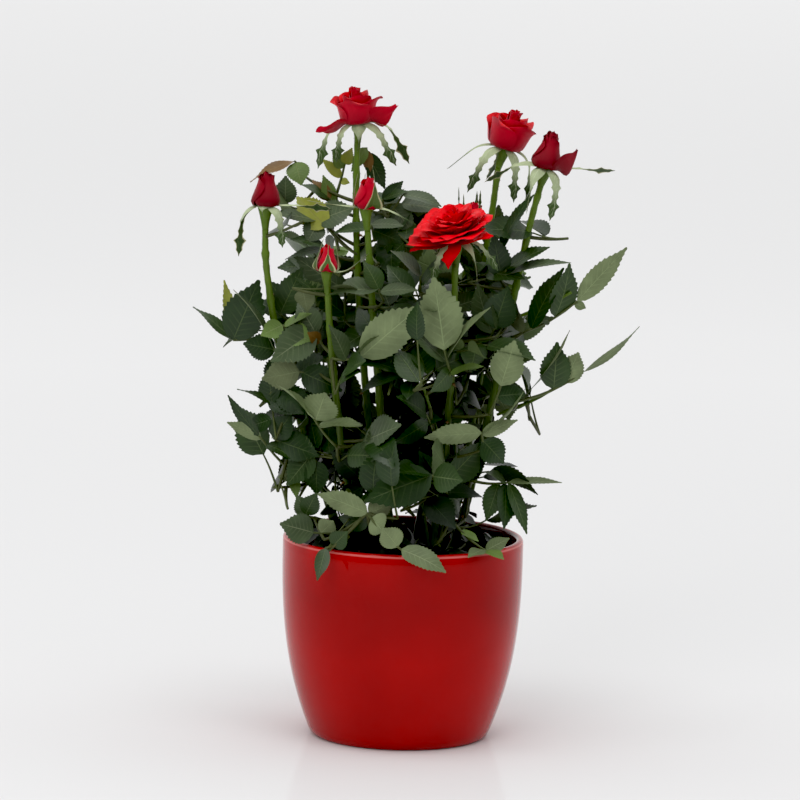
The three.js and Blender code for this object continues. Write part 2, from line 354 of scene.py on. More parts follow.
def barkMaterial(name, green, brown, footHeight):
    # green young wood, darker low down and browner near the peat, with pale streaks along it
    material, tree, shader = newMaterial(name, 0.45, 0.25)
    place = objectPlace(tree)
    split = node(tree, "ShaderNodeSeparateXYZ")
    tree.links.new(place, split.inputs[0])
    low = maths(tree, "SUBTRACT", footHeight + 0.06, split.outputs[2])
    low = maths(tree, "MULTIPLY", low, 16.0, clamp=True)
    streaks = node(tree, "ShaderNodeMapping")
    streaks.inputs["Scale"].default_value = (1.0, 1.0, 0.12)
    tree.links.new(place, streaks.inputs["Vector"])
    grain = noiseOn(tree, streaks.outputs["Vector"], 900.0)
    patches = noiseOn(tree, place, 70.0)
    high = ramp(tree, split.outputs[2], 0.17, 9.0)
    green = blend(tree, high, tuple(c * 0.42 for c in green), green)
    base = blend(tree, patches, blend(tree, 0.32, green, (0.0, 0.0, 0.0)), green)
    base = blend(tree, maths(tree, "MULTIPLY", grain, 0.25), base, (0.17, 0.22, 0.06))
    tree.links.new(blend(tree, maths(tree, "MULTIPLY", low, 0.75), base, brown), shader.inputs["Base Color"])
    bump(tree, shader, grain, 0.35, 0.0003)
    return material


def plainMaterial(name, colour, roughness, specular=0.5, scale=60.0, depth=0.15, vary=0.25):
    material, tree, shader = newMaterial(name, roughness, specular)
    place = objectPlace(tree)
    base = blend(tree, noiseOn(tree, place, scale), tuple(c * (1 - vary) for c in colour), colour)
    tree.links.new(base, shader.inputs["Base Color"])
    bump(tree, shader, noiseOn(tree, place, scale * 9), depth, 0.0003)
    return material


glaze = {
    "cloudDark": (0.385, 0.002, 0.001),
    "cloudLight": (0.47, 0.003, 0.002),
    "pooled": (0.34, 0.002, 0.002),  # under poolTop the glaze ran thicker
    "poolTop": 0.05,
    "paintedShadeBand": (0.2, 0.001, 0.001),  # painted shade: a soft darker band below the lip, where the overhanging foliage shades the pot
    "paintedShadeHeight": 0.085,
    "inside": (0.13, 0.002, 0.002),  # painted shade: the wall within innerReach of the axis, from insideFoot up, darkened where the pot's inside lies in shade
    "innerReach": 0.0655,
    "insideFoot": 0.08,
    "lipHighlight": (0.85, 0.26, 0.24),  # a painted highlight: a pale pinkish line along the outer lip, where the softbox above glints
    "lipFrom": 0.1119,
    "lipTo": 0.1134,
}


def glazeMaterial():
    # deep red glaze under a clear gloss
    material, tree, shader = newMaterial("red_glaze", 0.5, 0.0)
    place = objectPlace(tree)
    split = node(tree, "ShaderNodeSeparateXYZ")
    tree.links.new(place, split.inputs[0])
    height = split.outputs[2]
    pooled = maths(tree, "SUBTRACT", glaze["poolTop"], height)
    pooled = maths(tree, "MULTIPLY", pooled, 16.0, clamp=True)
    cloud = noiseOn(tree, place, 16.0)
    base = blend(tree, cloud, glaze["cloudDark"], glaze["cloudLight"])
    deep = blend(tree, maths(tree, "MULTIPLY", pooled, 0.35), base, glaze["pooled"])
    # painted shade from the foliage, as a band round the pot
    away = maths(tree, "ABSOLUTE", maths(tree, "SUBTRACT", height, glaze["paintedShadeHeight"]))
    paintedShadeBand = maths(tree, "SUBTRACT", 1.0, maths(tree, "MULTIPLY", away, 30.0), clamp=True)
    deep = blend(tree, maths(tree, "MULTIPLY", paintedShadeBand, 0.36), deep, glaze["paintedShadeBand"])
    flat = node(tree, "ShaderNodeVectorMath", operation="MULTIPLY")
    flat.inputs[1].default_value = (1, 1, 0)
    tree.links.new(place, flat.inputs[0])
    reach = node(tree, "ShaderNodeVectorMath", operation="LENGTH")
    tree.links.new(flat.outputs[0], reach.inputs[0])
    # painted shade on the inner wall
    inside = maths(tree, "SUBTRACT", glaze["innerReach"], reach.outputs["Value"])
    inside = maths(tree, "MULTIPLY", inside, 900.0, clamp=True)
    high = ramp(tree, height, glaze["insideFoot"], 300.0)
    deep = blend(tree, maths(tree, "MULTIPLY", inside, high), deep, glaze["inside"])
    # painted highlight along the outer lip
    above = ramp(tree, height, glaze["lipFrom"], 1600.0)
    below = maths(tree, "MULTIPLY", maths(tree, "SUBTRACT", glaze["lipTo"], height), 1600.0, clamp=True)
    outer = maths(tree, "SUBTRACT", 1.0, inside, clamp=True)
    line = maths(tree, "MULTIPLY", maths(tree, "MULTIPLY", above, below), outer)
    deep = blend(tree, maths(tree, "MULTIPLY", line, 0.55), deep, glaze["lipHighlight"])
    tree.links.new(deep, shader.inputs["Base Color"])
    shader.inputs["Coat Weight"].default_value = 1.0
    shader.inputs["Coat Roughness"].default_value = 0.015
    shader.inputs["Coat IOR"].default_value = 1.28
    bump(tree, shader, noiseOn(tree, place, 55.0), 0.04, 0.0004)
    return material


def newBatch():
    return {"points": [], "quads": [], "kinds": [], "blade": [], "bake": [], "count": 0}


def gather(batch, points, quads, kinds, blade, bake):
    batch["points"].append(points)
    batch["quads"].append(quads + batch["count"])
    batch["kinds"].append(kinds)
    batch["blade"].append(blade)
    batch["bake"].append(bake)
    batch["count"] += len(points)


def gridQuads(rows, columns):
    r, c = np.meshgrid(np.arange(rows - 1), np.arange(columns - 1), indexing="ij")
    a = (r * columns + c).ravel()
    return np.stack([a, a + 1, a + columns + 1, a + columns], 1)


def addBlade(batch, grid, thickness):
    # a thin closed blade: its upper face is the grid as given, its under face lies behind, with a shared rim
    rows, columns = grid.shape[:2]
    along = np.gradient(grid, axis=0)
    across = np.gradient(grid, axis=1)
    normal = np.cross(across, along)
    normal /= np.linalg.norm(normal, axis=2, keepdims=True) + 1e-12
    under = grid - normal * thickness
    upperIndex = np.arange(rows * columns).reshape(rows, columns)
    underIndex = upperIndex.copy()
    inner = np.arange((rows - 2) * (columns - 2)).reshape(rows - 2, columns - 2)
    underIndex[1:-1, 1:-1] = rows * columns + inner
    points = np.concatenate([grid.reshape(-1, 3), under[1:-1, 1:-1].reshape(-1, 3)])
    flat = gridQuads(rows, columns)
    upper = upperIndex.ravel()[flat]
    lower = underIndex.ravel()[flat][:, ::-1]
    u, v = np.meshgrid(np.linspace(0, 1, columns), np.linspace(0, 1, rows))
    place = np.stack([u.ravel(), v.ravel()], 1)
    upperUv = place[flat]
    lowerUv = place[flat][:, ::-1]
    blade = np.concatenate([upperUv, lowerUv])
    half = np.array([0.47, 0.96])  # each face takes one half of the map, with a gap
    bake = np.concatenate([upperUv * half + [0.015, 0.02], lowerUv * half + [0.515, 0.02]])
    kinds = np.repeat([0, 1], len(flat))
    gather(batch, points, np.concatenate([upper, lower]), kinds, blade, bake)


def addTube(batch, path, radii, sides=6, kind=0):
    # a round tube along a path, its ends drawn in to close it
    path = np.asarray(path, float)
    radii = np.broadcast_to(radii, (len(path),)).astype(float)
    path = np.concatenate([path[:1], path, path[-1:]])
    radii = np.concatenate([[radii[0] * 0.02], radii, [radii[-1] * 0.02]])
    run = np.gradient(path, axis=0)
    run[0], run[-1] = run[1], run[-2]
    run /= np.linalg.norm(run, axis=1, keepdims=True) + 1e-12
    side = squareTo(run[0], [0.31, 0.17, 0.93] if abs(run[0][2]) < 0.9 else [1, 0.1, 0])
    rings = []
    turn = np.linspace(0, 2 * math.pi, sides, endpoint=False)
    for place, radius, way in zip(path, radii, run):
        side = squareTo(way, side)
        other = np.cross(way, side)
        rings.append(place + radius * (np.outer(np.cos(turn), side) + np.outer(np.sin(turn), other)))
    rings = np.array(rings)
    count = len(rings)
    r, c = np.meshgrid(np.arange(count - 1), np.arange(sides), indexing="ij")
    a = (r * sides + c).ravel()
    b = (r * sides + (c + 1) % sides).ravel()
    quads = np.stack([a, b, b + sides, a + sides], 1)
    uv = np.stack([c.ravel() / sides, r.ravel() / count], 1)
    corner = np.array([[0, 0], [1 / sides, 0], [1 / sides, 1 / count], [0, 1 / count]])
    place = uv[:, None, :] + corner[None, :, :]
    gather(batch, rings.reshape(-1, 3), quads, np.full(len(quads), kind), place, place)


def ringEdges(ring):
    found = []
    for v in ring:
        found += [e for e in v.link_edges if e.other_vert(v) in ring and e not in found]
    return found


def sweptLimb(name, path, radii, sides):
    # a ring drawn on along a path, station by station, and closed at both ends
    shape = bmesh.new()
    ring = bmesh.ops.create_circle(shape, cap_ends=True, segments=sides, radius=1)["verts"]
    run = np.gradient(path, axis=0)
    side = squareTo(unit(run[0]), [1, 0.1, 0])
    before = Matrix.Identity(4)
    for k, (place, radius) in enumerate(zip(path, radii)):
        way = unit(run[k])
        side = squareTo(way, side)
        other = np.cross(way, side)
        axes = [[side[i] * radius, other[i] * radius, way[i] * radius, place[i]] for i in range(3)]
        station = Matrix(axes + [[0, 0, 0, 1]])
        if k:
            drawn = bmesh.ops.extrude_edge_only(shape, edges=ringEdges(ring))["geom"]
            ring = [g for g in drawn if isinstance(g, bmesh.types.BMVert)]
        bmesh.ops.transform(shape, matrix=station @ before.inverted(), verts=ring)
        before = station
    bmesh.ops.contextual_create(shape, geom=ringEdges(ring))
    bmesh.ops.recalc_face_normals(shape, faces=shape.faces)
    for face in shape.faces:
        face.smooth = len(face.verts) == 4
    mesh = bpy.data.meshes.new(name)
    shape.to_mesh(mesh)
    shape.free()
    return mesh


def sharpRims(mesh, kinds):
    # a blade's two faces are shaded apart along their shared rim
    edge = np.zeros(len(mesh.loops), np.int32)
    mesh.loops.foreach_get("edge_index", edge)
    kind = np.repeat(kinds, 4)
    low, high = np.full(len(mesh.edges), 9), np.full(len(mesh.edges), -1)
    np.minimum.at(low, edge, kind)
    np.maximum.at(high, edge, kind)
    layer = mesh.attributes.new("sharp_edge", "BOOLEAN", "EDGE")
    layer.data.foreach_set("value", (low != high))


def closeEnds(mesh):
    # the drawn-in tube ends are sealed
    shape = bmesh.new()
    shape.from_mesh(mesh)
    rims = [e for e in shape.edges if e.is_boundary]
    if rims:
        bmesh.ops.holes_fill(shape, edges=rims, sides=24)
    shape.to_mesh(mesh)
    shape.free()


def placePiece(name, mesh, materials, nodes):
    for material in materials:
        mesh.materials.append(material)
    piece = bpy.data.objects.new(name, mesh)
    bpy.context.scene.collection.objects.link(piece)
    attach(piece, "root")
    if nodes:
        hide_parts(*nodes)
    return piece


def finishBatch(batch, name, materials, nodes=()):
    points = np.concatenate(batch["points"])
    quads = np.concatenate(batch["quads"])
    mesh = bpy.data.meshes.new(name)
    mesh.from_pydata(points.tolist(), [], quads.tolist())
    mesh.polygons.foreach_set("material_index", np.concatenate(batch["kinds"]).astype(np.int32))
    mesh.polygons.foreach_set("use_smooth", np.ones(len(quads), bool))
    for title, key in (("blade", "blade"), ("OFBake", "bake")):
        layer = mesh.uv_layers.new(name=title)
        layer.data.foreach_set("uv", np.concatenate(batch[key]).reshape(-1).astype(np.float32))
    mesh.update()
    sharpRims(mesh, np.concatenate(batch["kinds"]))
    closeEnds(mesh)
    piece = placePiece(name, mesh, materials, nodes)
    print(name, len(mesh.polygons), "faces")
    return piece


limbs = {}


def centreline(name, spacing=0.004):
    # the middle and the girth of a frame limb, cut by cut: a cane is cut level, a bough square to its run
    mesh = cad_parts[name].data
    points = np.array([v.co[:] for v in mesh.vertices])
    edges = np.array([e.vertices[:] for e in mesh.edges])
    if name.startswith("cane"):
        way = np.array([0, 0, 1.0])
    else:
        centred = points - points.mean(0)
        way = np.linalg.svd(centred, full_matrices=False)[2][0]
        tip, root = points[np.argmax(points @ way)], points[np.argmin(points @ way)]
        if np.linalg.norm(tip[:2]) < np.linalg.norm(root[:2]):
            way = -way
    height = points @ way
    low, high = height.min(), height.max()
    count = max(6, int((high - low) / spacing))
    line, radii = [], []
    for level in np.linspace(low + 0.0002, high - 0.0002, count):
        a, b = height[edges[:, 0]], height[edges[:, 1]]
        crossing = (a - level) * (b - level) < 0
        t = ((level - a) / np.where(b == a, 1, b - a))[crossing][:, None]
        cut = points[edges[crossing, 0]] * (1 - t) + points[edges[crossing, 1]] * t
        middle = (cut.min(0) + cut.max(0)) / 2
        line.append(middle)
        radii.append(np.linalg.norm(cut - middle, axis=1).mean())
    return np.array(line), np.array(radii)


def softened(line, times=3):
    line = line.copy()
    for _ in range(times):
        line[1:-1] = (line[:-2] + 2 * line[1:-1] + line[2:]) / 4
    return line


caneLook = {
    "nodeSpacing": 0.026,
    "nodeSwell": 0.28,
    "sides": 12,
    "prickles": 9,
    "prickleLength": 0.0028,
    "bristles": 90,  # on the top 60 mm of a cane
    "bristleReach": 0.06,
}


def makeLimbs(bark, prickleMaterial):
    thorns = newBatch()
    for name in sorted(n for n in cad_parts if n.startswith(("cane", "bough"))):
        line, radii = centreline(name)
        line = softened(line)
        limbs[name] = (line, radii)
        steps = np.concatenate([[0], np.cumsum(np.linalg.norm(np.diff(line, axis=0), axis=1))])
        fine = np.linspace(0, steps[-1], max(8, int(steps[-1] / 0.0018)))
        path = np.stack([np.interp(fine, steps, line[:, k]) for k in range(3)], 1)
        path = softened(path, 4)
        radius = np.interp(fine, steps, radii)
        phase = dice.uniform(0, 1)
        beat = (fine / caneLook["nodeSpacing"] + phase) % 1
        radius = radius * (1 + caneLook["nodeSwell"] * np.exp(-((beat - 0.5) / 0.07) ** 2))
        radius = radius * (1 + 0.05 * np.sin(fine * 900 + phase * 9))
        mesh = sweptLimb(name, path, radius, caneLook["sides"])
        placePiece(name + "_bark", mesh, [bark], [name])
        if name.startswith("cane"):
            for _ in range(caneLook["prickles"]):
                at = dice.uniform(0.12, 0.8) * fine[-1]
                length = caneLook["prickleLength"] * dice.uniform(0.7, 1.15)
                addPrickle(thorns, path, radius, fine, at, length, 0.0011)
            for _ in range(caneLook["bristles"]):
                at = fine[-1] - dice.uniform(0, caneLook["bristleReach"])
                addPrickle(thorns, path, radius, fine, at, dice.uniform(0.0005, 0.0011), 0.00016)
    finishBatch(thorns, "prickles", [prickleMaterial])


def addPrickle(batch, path, radius, fine, at, length, width):
    k = int(np.argmin(abs(fine - at)))
    k = min(max(k, 1), len(path) - 2)
    way = unit(path[k + 1] - path[k - 1])
    out = turnAbout(squareTo(way, [1, 0, 0.2]), way, dice.uniform(0, 2 * math.pi))
    foot = path[k] + out * radius[k] * 0.85
    line = np.array([foot, foot + out * length * 0.55, foot + out * length - way * length * 0.35])
    addTube(batch, line, np.array([width, width * 0.5, width * 0.06]), sides=4)


leafLook = {
    "length": 0.034,  # of an end leaflet
    "widthShare": 0.62,
    "teeth": 13,  # on each side
    "toothDepth": 0.052,
    "thickness": 0.0003,
}


def leafletGrid(base, way, face, length, width, fold, arch, twist, ripple):
    # an ovate toothed leaflet: rows along the midrib, three columns across
    rows = leafLook["teeth"] * 2 + 1
    t = np.linspace(0, 1, rows)
    half = width / 2 * np.sin(math.pi * t ** 0.74) ** 0.84
    half = half * (1 - 0.42 * smooth(0.6, 1.0, t)) + 0.0002
    tooth = np.where(np.arange(rows) % 2 == 1, 1.0, -1.0) * leafLook["toothDepth"]
    tooth[0] = tooth[-1] = 0
    side = squareTo(way, np.cross(face, way))
    up = np.cross(way, side)
    bend = arch if abs(arch) > 1e-3 else 1e-3
    grid = np.zeros((rows, 3, 3))
    for k, column in enumerate((-1, 0, 1)):
        # a tooth points forward within the blade's own surface
        run = np.clip(t + abs(column) * np.where(tooth > 0, 0.024, 0), 0, 1)
        forward = length * np.sin(bend * run) / bend
        drop = -length * (1 - np.cos(bend * run)) / bend
        wide = half * column * (1 + tooth)
        lift = np.abs(wide) * math.sin(fold) + ripple * length * abs(column) * np.sin(run * 8 + column * 2)
        sideways = wide * math.cos(fold)
        roll = twist * run
        y = sideways * np.cos(roll) - lift * np.sin(roll)
        z = sideways * np.sin(roll) + lift * np.cos(roll)
        grid[:, k] = (base + np.outer(forward + z * np.sin(bend * run), way) + np.outer(y, side)
                      + np.outer(drop + z * np.cos(bend * run), up))
    return grid


def addLeaflet(leaves, tone, base, way, face, length, width=None, arch=None, fold=None, twist=None):
    grid = leafletGrid(
        base, unit(way), unit(face), length,
        length * leafLook["widthShare"] * dice.uniform(0.9, 1.12) if width is None else width,
        about(0.2, 0.2) if fold is None else fold,
        about(0.4, 0.45) if arch is None else arch,
        about(0.0, 0.4) if twist is None else twist,
        dice.uniform(0.0, 0.03))
    addBlade(leaves[tone], grid[:, ::-1], leafLook["thickness"])


def leafStalk(start, end, sag, count=7):
    t = np.linspace(0, 1, count)[:, None]
    return between(start, end, t) + np.array([0, 0, 1.0]) * sag * np.sin(math.pi * t)


def addSpray(leaves, stalks, start, end, face, count, size, tone, fits, sag=0.003, droop=0.0):
    # one compound leaf: a stalk from start to end, pairs of leaflets along it and one at its end
    line = leafStalk(start, end, sag)
    ahead = unit(unit(line[-1] - line[-2]) + np.array([0, 0, -1.0]) * droop)
    reach = np.linalg.norm(np.asarray(end) - np.asarray(start))
    addTube(stalks, line, np.linspace(0.00075, 0.00045, len(line)), sides=5)
    pairs = (count - 1) // 2
    for k in range(pairs):
        share = 1 - (pairs - k) * min(0.36, 0.017 / max(reach, 0.001)) if pairs > 1 else 0.66
        share = max(0.2, share)
        at = share * (len(line) - 1)
        low = min(int(at), len(line) - 2)
        foot = between(line[low], line[low + 1], at - low)
        way = unit(line[low + 1] - line[low])
        up = squareTo(way, face)
        for sign in (-1, 1):
            tilt = unit(up + sign * np.cross(way, up) * about(0.0, 0.28) + way * about(0, 0.15))
            out = turnAbout(way, up, sign * math.radians(about(62, 14)))
            out = unit(out + np.array([0, 0, -1.0]) * about(0.08 + droop, 0.12))
            long = size * (0.7 + 0.14 * (k + 1) / pairs) * dice.uniform(0.9, 1.08)
            if fits(foot, out, long):
                addLeaflet(leaves, tone, foot + out * 0.0012, out, tilt, long)
    addLeaflet(leaves, tone, line[-1], ahead, squareTo(ahead, face), size)


growth = {
    "cubicMmPerLeaf": 8600,  # one compound leaf for this much of a mass
    "lowShare": 0.62,  # of that, for the crowded masses under this height in metres
    "lowTop": 0.2,
    "leastLeaves": 3,
    "tries": 9,  # headings looked at for each leaf before it is left out
    "climbCost": 0.9,  # a twig would rather leave its limb below its leaf
    "twigRadius": 0.0011,
    "tipRadius": 0.0007,
    "outward": 0.6,
    "upward": 0.6,
    "wander": 0.75,
    "stray": 0.005,  # how far a leaflet's tip may stand out of the masses
    "shownOnly": ("foliage_spray_high", "foliage_spray_mid", "foliage_rim_left", "foliage_rim_front"),
    "footLeaves": 26,  # small dark leaves over the peat
    "bareCanes": ("cane_back_left", "cane_back_right"),  # with no flower, so with leaves at the tip
}

toneShares = {
    # the low masses often take the painted-shade tone
    "low": {"shade": 0.4, "dark": 0.4, "mid": 0.16, "grey": 0.04},
    "middle": {"dark": 0.46, "mid": 0.38, "grey": 0.14, "fresh": 0.02},
    "high": {"dark": 0.28, "mid": 0.38, "grey": 0.16, "fresh": 0.08, "young": 0.03, "bronze": 0.07},
}

# columns of open sky through the crown as seen from the front and a little above:
# across, up, half width in mm
skyGaps = [
    (-18, 206, 5), (3, 168, 5), (-34, 141, 5), (5, 252, 6), (-88, 208, 9), (84, 222, 5), (40, 128, 5),
    (-78, 300, 5), (-62, 288, 7), (-40, 314, 6), (-14, 292, 4), (-70, 134, 9), (-84, 152, 9),
    (-92, 206, 7), (62, 136, 5), (100, 232, 9), (88, 232, 9), (99, 242, 7), (97, 234, 6), (62, 166, 10),
    (76, 186, 12), (86, 196, 8), (72, 207, 6), (44, 138, 6), (51, 150, 5), (-76, 183, 5), (-84, 221, 6),
    (-63, 131, 6), (-63, 271, 7), (-25, 267, 5), (-20, 282, 4), (2, 272, 5), (12, 266, 4),
    (-39, 245, 4), (-2, 205, 5), (9, 200, 5), (-28, 190, 5), (-6, 172, 5), (-48, 165, 4), (-36, 168, 4),
    (-28, 152, 5), (-40, 150, 4), (24, 205, 4), (20, 182, 4), (-14, 186, 4), (-16, 230, 4),
    (30, 140, 4), (78, 136, 8), (37, 155, 4), (48, 156, 6), (64, 178, 7), (57, 176, 5), (2, 318, 6),
    (-6, 322, 5), (-101, 299, 14), (53, 164, 6), (49, 139, 6),
]


def dealTone(place):
    # painted shade: leaves deep in the crown's middle take the darkest tone
    if place[2] < 0.225 and abs(place[0]) < 0.045 and -0.02 < place[1] < 0.045:
        return "shade"
    shares = toneShares["low" if place[2] < 0.18 else "middle" if place[2] < 0.26 else "high"]
    return dice.choices(list(shares), list(shares.values()))[0]


def pointsInside(name, count):
    # evenly spread places inside a mass
    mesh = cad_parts[name].data
    tree = BVHTree.FromPolygons([v.co for v in mesh.vertices], [p.vertices for p in mesh.polygons])
    low, high = boxOf(name)
    found = []
    while len(found) < count * 14:
        place = Vector([dice.uniform(a, b) for a, b in zip(low, high)])
        near, normal, _, distance = tree.find_nearest(place)
        if (place - near).dot(normal) < 0 and distance > 0.003:
            found.append(np.array(place))
    chosen = [found[0]]
    while len(chosen) < count:
        gaps = [min(np.linalg.norm(f - c) for c in chosen) for f in found]
        chosen.append(found[int(np.argmax(gaps))])
    return chosen


def volumeOf(name):
    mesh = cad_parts[name].data
    total = 0.0
    for p in mesh.polygons:
        a, b, c = (mesh.vertices[i].co for i in p.vertices[:3])
        total += a.dot(b.cross(c)) / 6
    return abs(total)


sightSlope = 0.148  # how much lower a thing seems for each step it stands nearer the front


def crownTest(shown):
    # whether a leaflet stays within the masses, out of the sky gaps and behind the shown leaves
    corners, faces = [], []
    for name in masses:
        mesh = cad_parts[name].data
        faces += [[i + len(corners) for i in p.vertices] for p in mesh.polygons]
        corners += [v.co.copy() for v in mesh.vertices]
    skin = BVHTree.FromPolygons(corners, faces)
    centres = np.array([c for c, _ in shown])
    reach = np.array([r for _, r in shown])
    gaps = np.array(skyGaps) * mm

    def fits(foot, way, length):
        tip = foot + way * length
        near, normal, _, distance = skin.find_nearest(Vector(tip))
        if (Vector(tip) - near).dot(normal) > 0 and distance > growth["stray"]:
            return False
        for place in (foot + way * length * 0.5, foot + way * length * 0.85):
            seen = np.array([place[0], place[2] + sightSlope * place[1]])
            if (np.hypot(gaps[:, 0] - seen[0], gaps[:, 1] - seen[1]) < gaps[:, 2]).any():
                return False
            off = np.hypot(centres[:, 0] - place[0], centres[:, 2] - place[2])
            if ((off < reach) & (place[1] < centres[:, 1] + 0.004)).any():
                return False
        return True

    return fits


def growTwig(root, base, outward, twigs):
    far = np.linalg.norm(base - root)
    bend = between(root, base, 0.5) + np.array([0, 0, -0.07]) * far + outward * 0.04 * far
    t = np.linspace(0, 1, 8)[:, None]
    line = (1 - t) ** 2 * root + 2 * t * (1 - t) * bend + t ** 2 * base
    addTube(twigs, line, np.linspace(growth["twigRadius"], growth["tipRadius"], len(line)), sides=6)
    return list(line[2:])


def nearestWood(choices, target):
    climb = growth["climbCost"]
    costs = [np.linalg.norm(target - w) + climb * max(0, w[2] - target[2] + 0.006) for w in choices]
    return choices[int(np.argmin(costs))]


def growMass(name, wood, leaves, stalks, twigs, fits):
    dice.seed(name)  # each mass by its own seed, so that a change in one leaves the others alone
    low, high = boxOf(name)
    middle = (low + high) / 2
    share = growth["lowShare"] if high[2] < growth["lowTop"] + 0.01 else 1
    count = max(growth["leastLeaves"], round(volumeOf(name) * 1e9 / growth["cubicMmPerLeaf"] / share))
    targets = pointsInside(name, count)
    ends = sorted(targets, key=lambda t: min(np.linalg.norm(t - w) for w in wood))
    grown = []
    for target in ends:
        root = nearestWood(wood + grown, target)
        near = np.hypot(target[0], target[1]) <= 0.01
        ring = unit([dice.uniform(-1, 1), -1, 0] if near else [target[0], target[1], 0])
        size = leafLook["length"] * dice.uniform(0.6, 0.98)
        droop = dice.uniform(0.0, 0.35)
        best = None
        for _ in range(growth["tries"]):
            stray = np.array([dice.gauss(0, 0.5), dice.gauss(0, 0.5), dice.gauss(0, 0.3)])
            onward = unit(target - root) + 0.4 * ring + 0.3 * unit(target - middle)
            heading = unit(onward + np.array([0, 0, 0.1]) + stray)
            ahead = unit(heading + np.array([0, 0, -1.0]) * droop)
            if fits(target - heading * size * 0.4, ahead, size):
                best = heading
                break
        if best is None:
            continue
        end = target - best * size * 0.4
        base = end - best * dice.uniform(0.016, 0.026)
        grown.extend(growTwig(root, base, ring, twigs))
        wander = growth["wander"] * np.array([dice.gauss(0, 0.6), dice.gauss(0, 0.6), dice.gauss(0, 0.4)])
        face = growth["upward"] * np.array([0, 0, 1.0]) + growth["outward"] * ring + wander
        leaflets = dice.choices([3, 5, 7], [0.3, 0.6, 0.1])[0]
        addSpray(leaves, stalks, base, end, unit(face), leaflets, size, dealTone(target), fits,
                 sag=about(0.0, 0.002), droop=droop)
    print(name, len(targets), "compound leaves")


def anywhere(foot, way, length):
    # the test for leaves that are always wanted
    return True


def growTips(leaves, stalks):
    # a cane without a flower ends in a fan of leaves
    for name in growth["bareCanes"]:
        tip = limbs[name][0][-1]
        ring = unit([tip[0], tip[1], 0])
        for k in range(3):
            heading = unit(turnAbout(ring, [0, 0, 1.0], (k - 1) * 0.7) + np.array([0, 0.5, 0.9 - 0.2 * k]))
            face = unit(np.array([0, 0, 1.0]) + 0.4 * ring - 0.5 * heading)
            leaflets, tone = (5, 3, 5)[k], ("fresh", "mid", "mid")[k]
            addSpray(leaves, stalks, tip - [0, 0, 0.004 + 0.006 * k], tip + heading * 0.012, face, leaflets,
                     0.024, tone, anywhere, sag=0.002, droop=0.1)


def growFoot(wood, leaves, stalks, twigs):
    # the small leaves low on the canes, painted dark as shade in the 'shade' tone
    high = boxOf("peat")[1]
    for k in range(growth["footLeaves"]):
        angle, away = k * 2.4, 0.8 * high[0] * math.sqrt((k + 0.5) / growth["footLeaves"])
        target = np.array([away * math.cos(angle), away * math.sin(angle) + 0.004, high[2]])
        target[2] += dice.uniform(0.014, 0.036)
        root = nearestWood(wood, target)
        ring = unit([target[0], target[1], 0])
        stray = np.array([dice.uniform(-0.6, 0.6), dice.uniform(-0.6, 0.6), dice.uniform(-0.2, 0.5)])
        heading = unit(ring + stray)
        growTwig(root, target, ring, twigs)
        face = unit(np.array([dice.gauss(0, 0.5), dice.gauss(0, 0.5) - 0.4, 1.0]) + 0.5 * ring)
        addSpray(leaves, stalks, target, target + heading * 0.012, face, 3, dice.uniform(0.017, 0.024),
                 "shade", anywhere, sag=0.001, droop=0.3)


faces = {
    # the way a leaflet's upper face looks
    "front": (0.05, -1.0, 0.3),
    "left": (-0.6, -0.8, 0.4),
    "right": (0.6, -0.8, 0.4),
    "up": (0.0, -0.42, 1.0),
    "under": (0.15, 1.0, 0.15),
    "edge": (1.0, -0.12, 0.5),
    "edgeLeft": (-1.0, -0.12, 0.5),
}

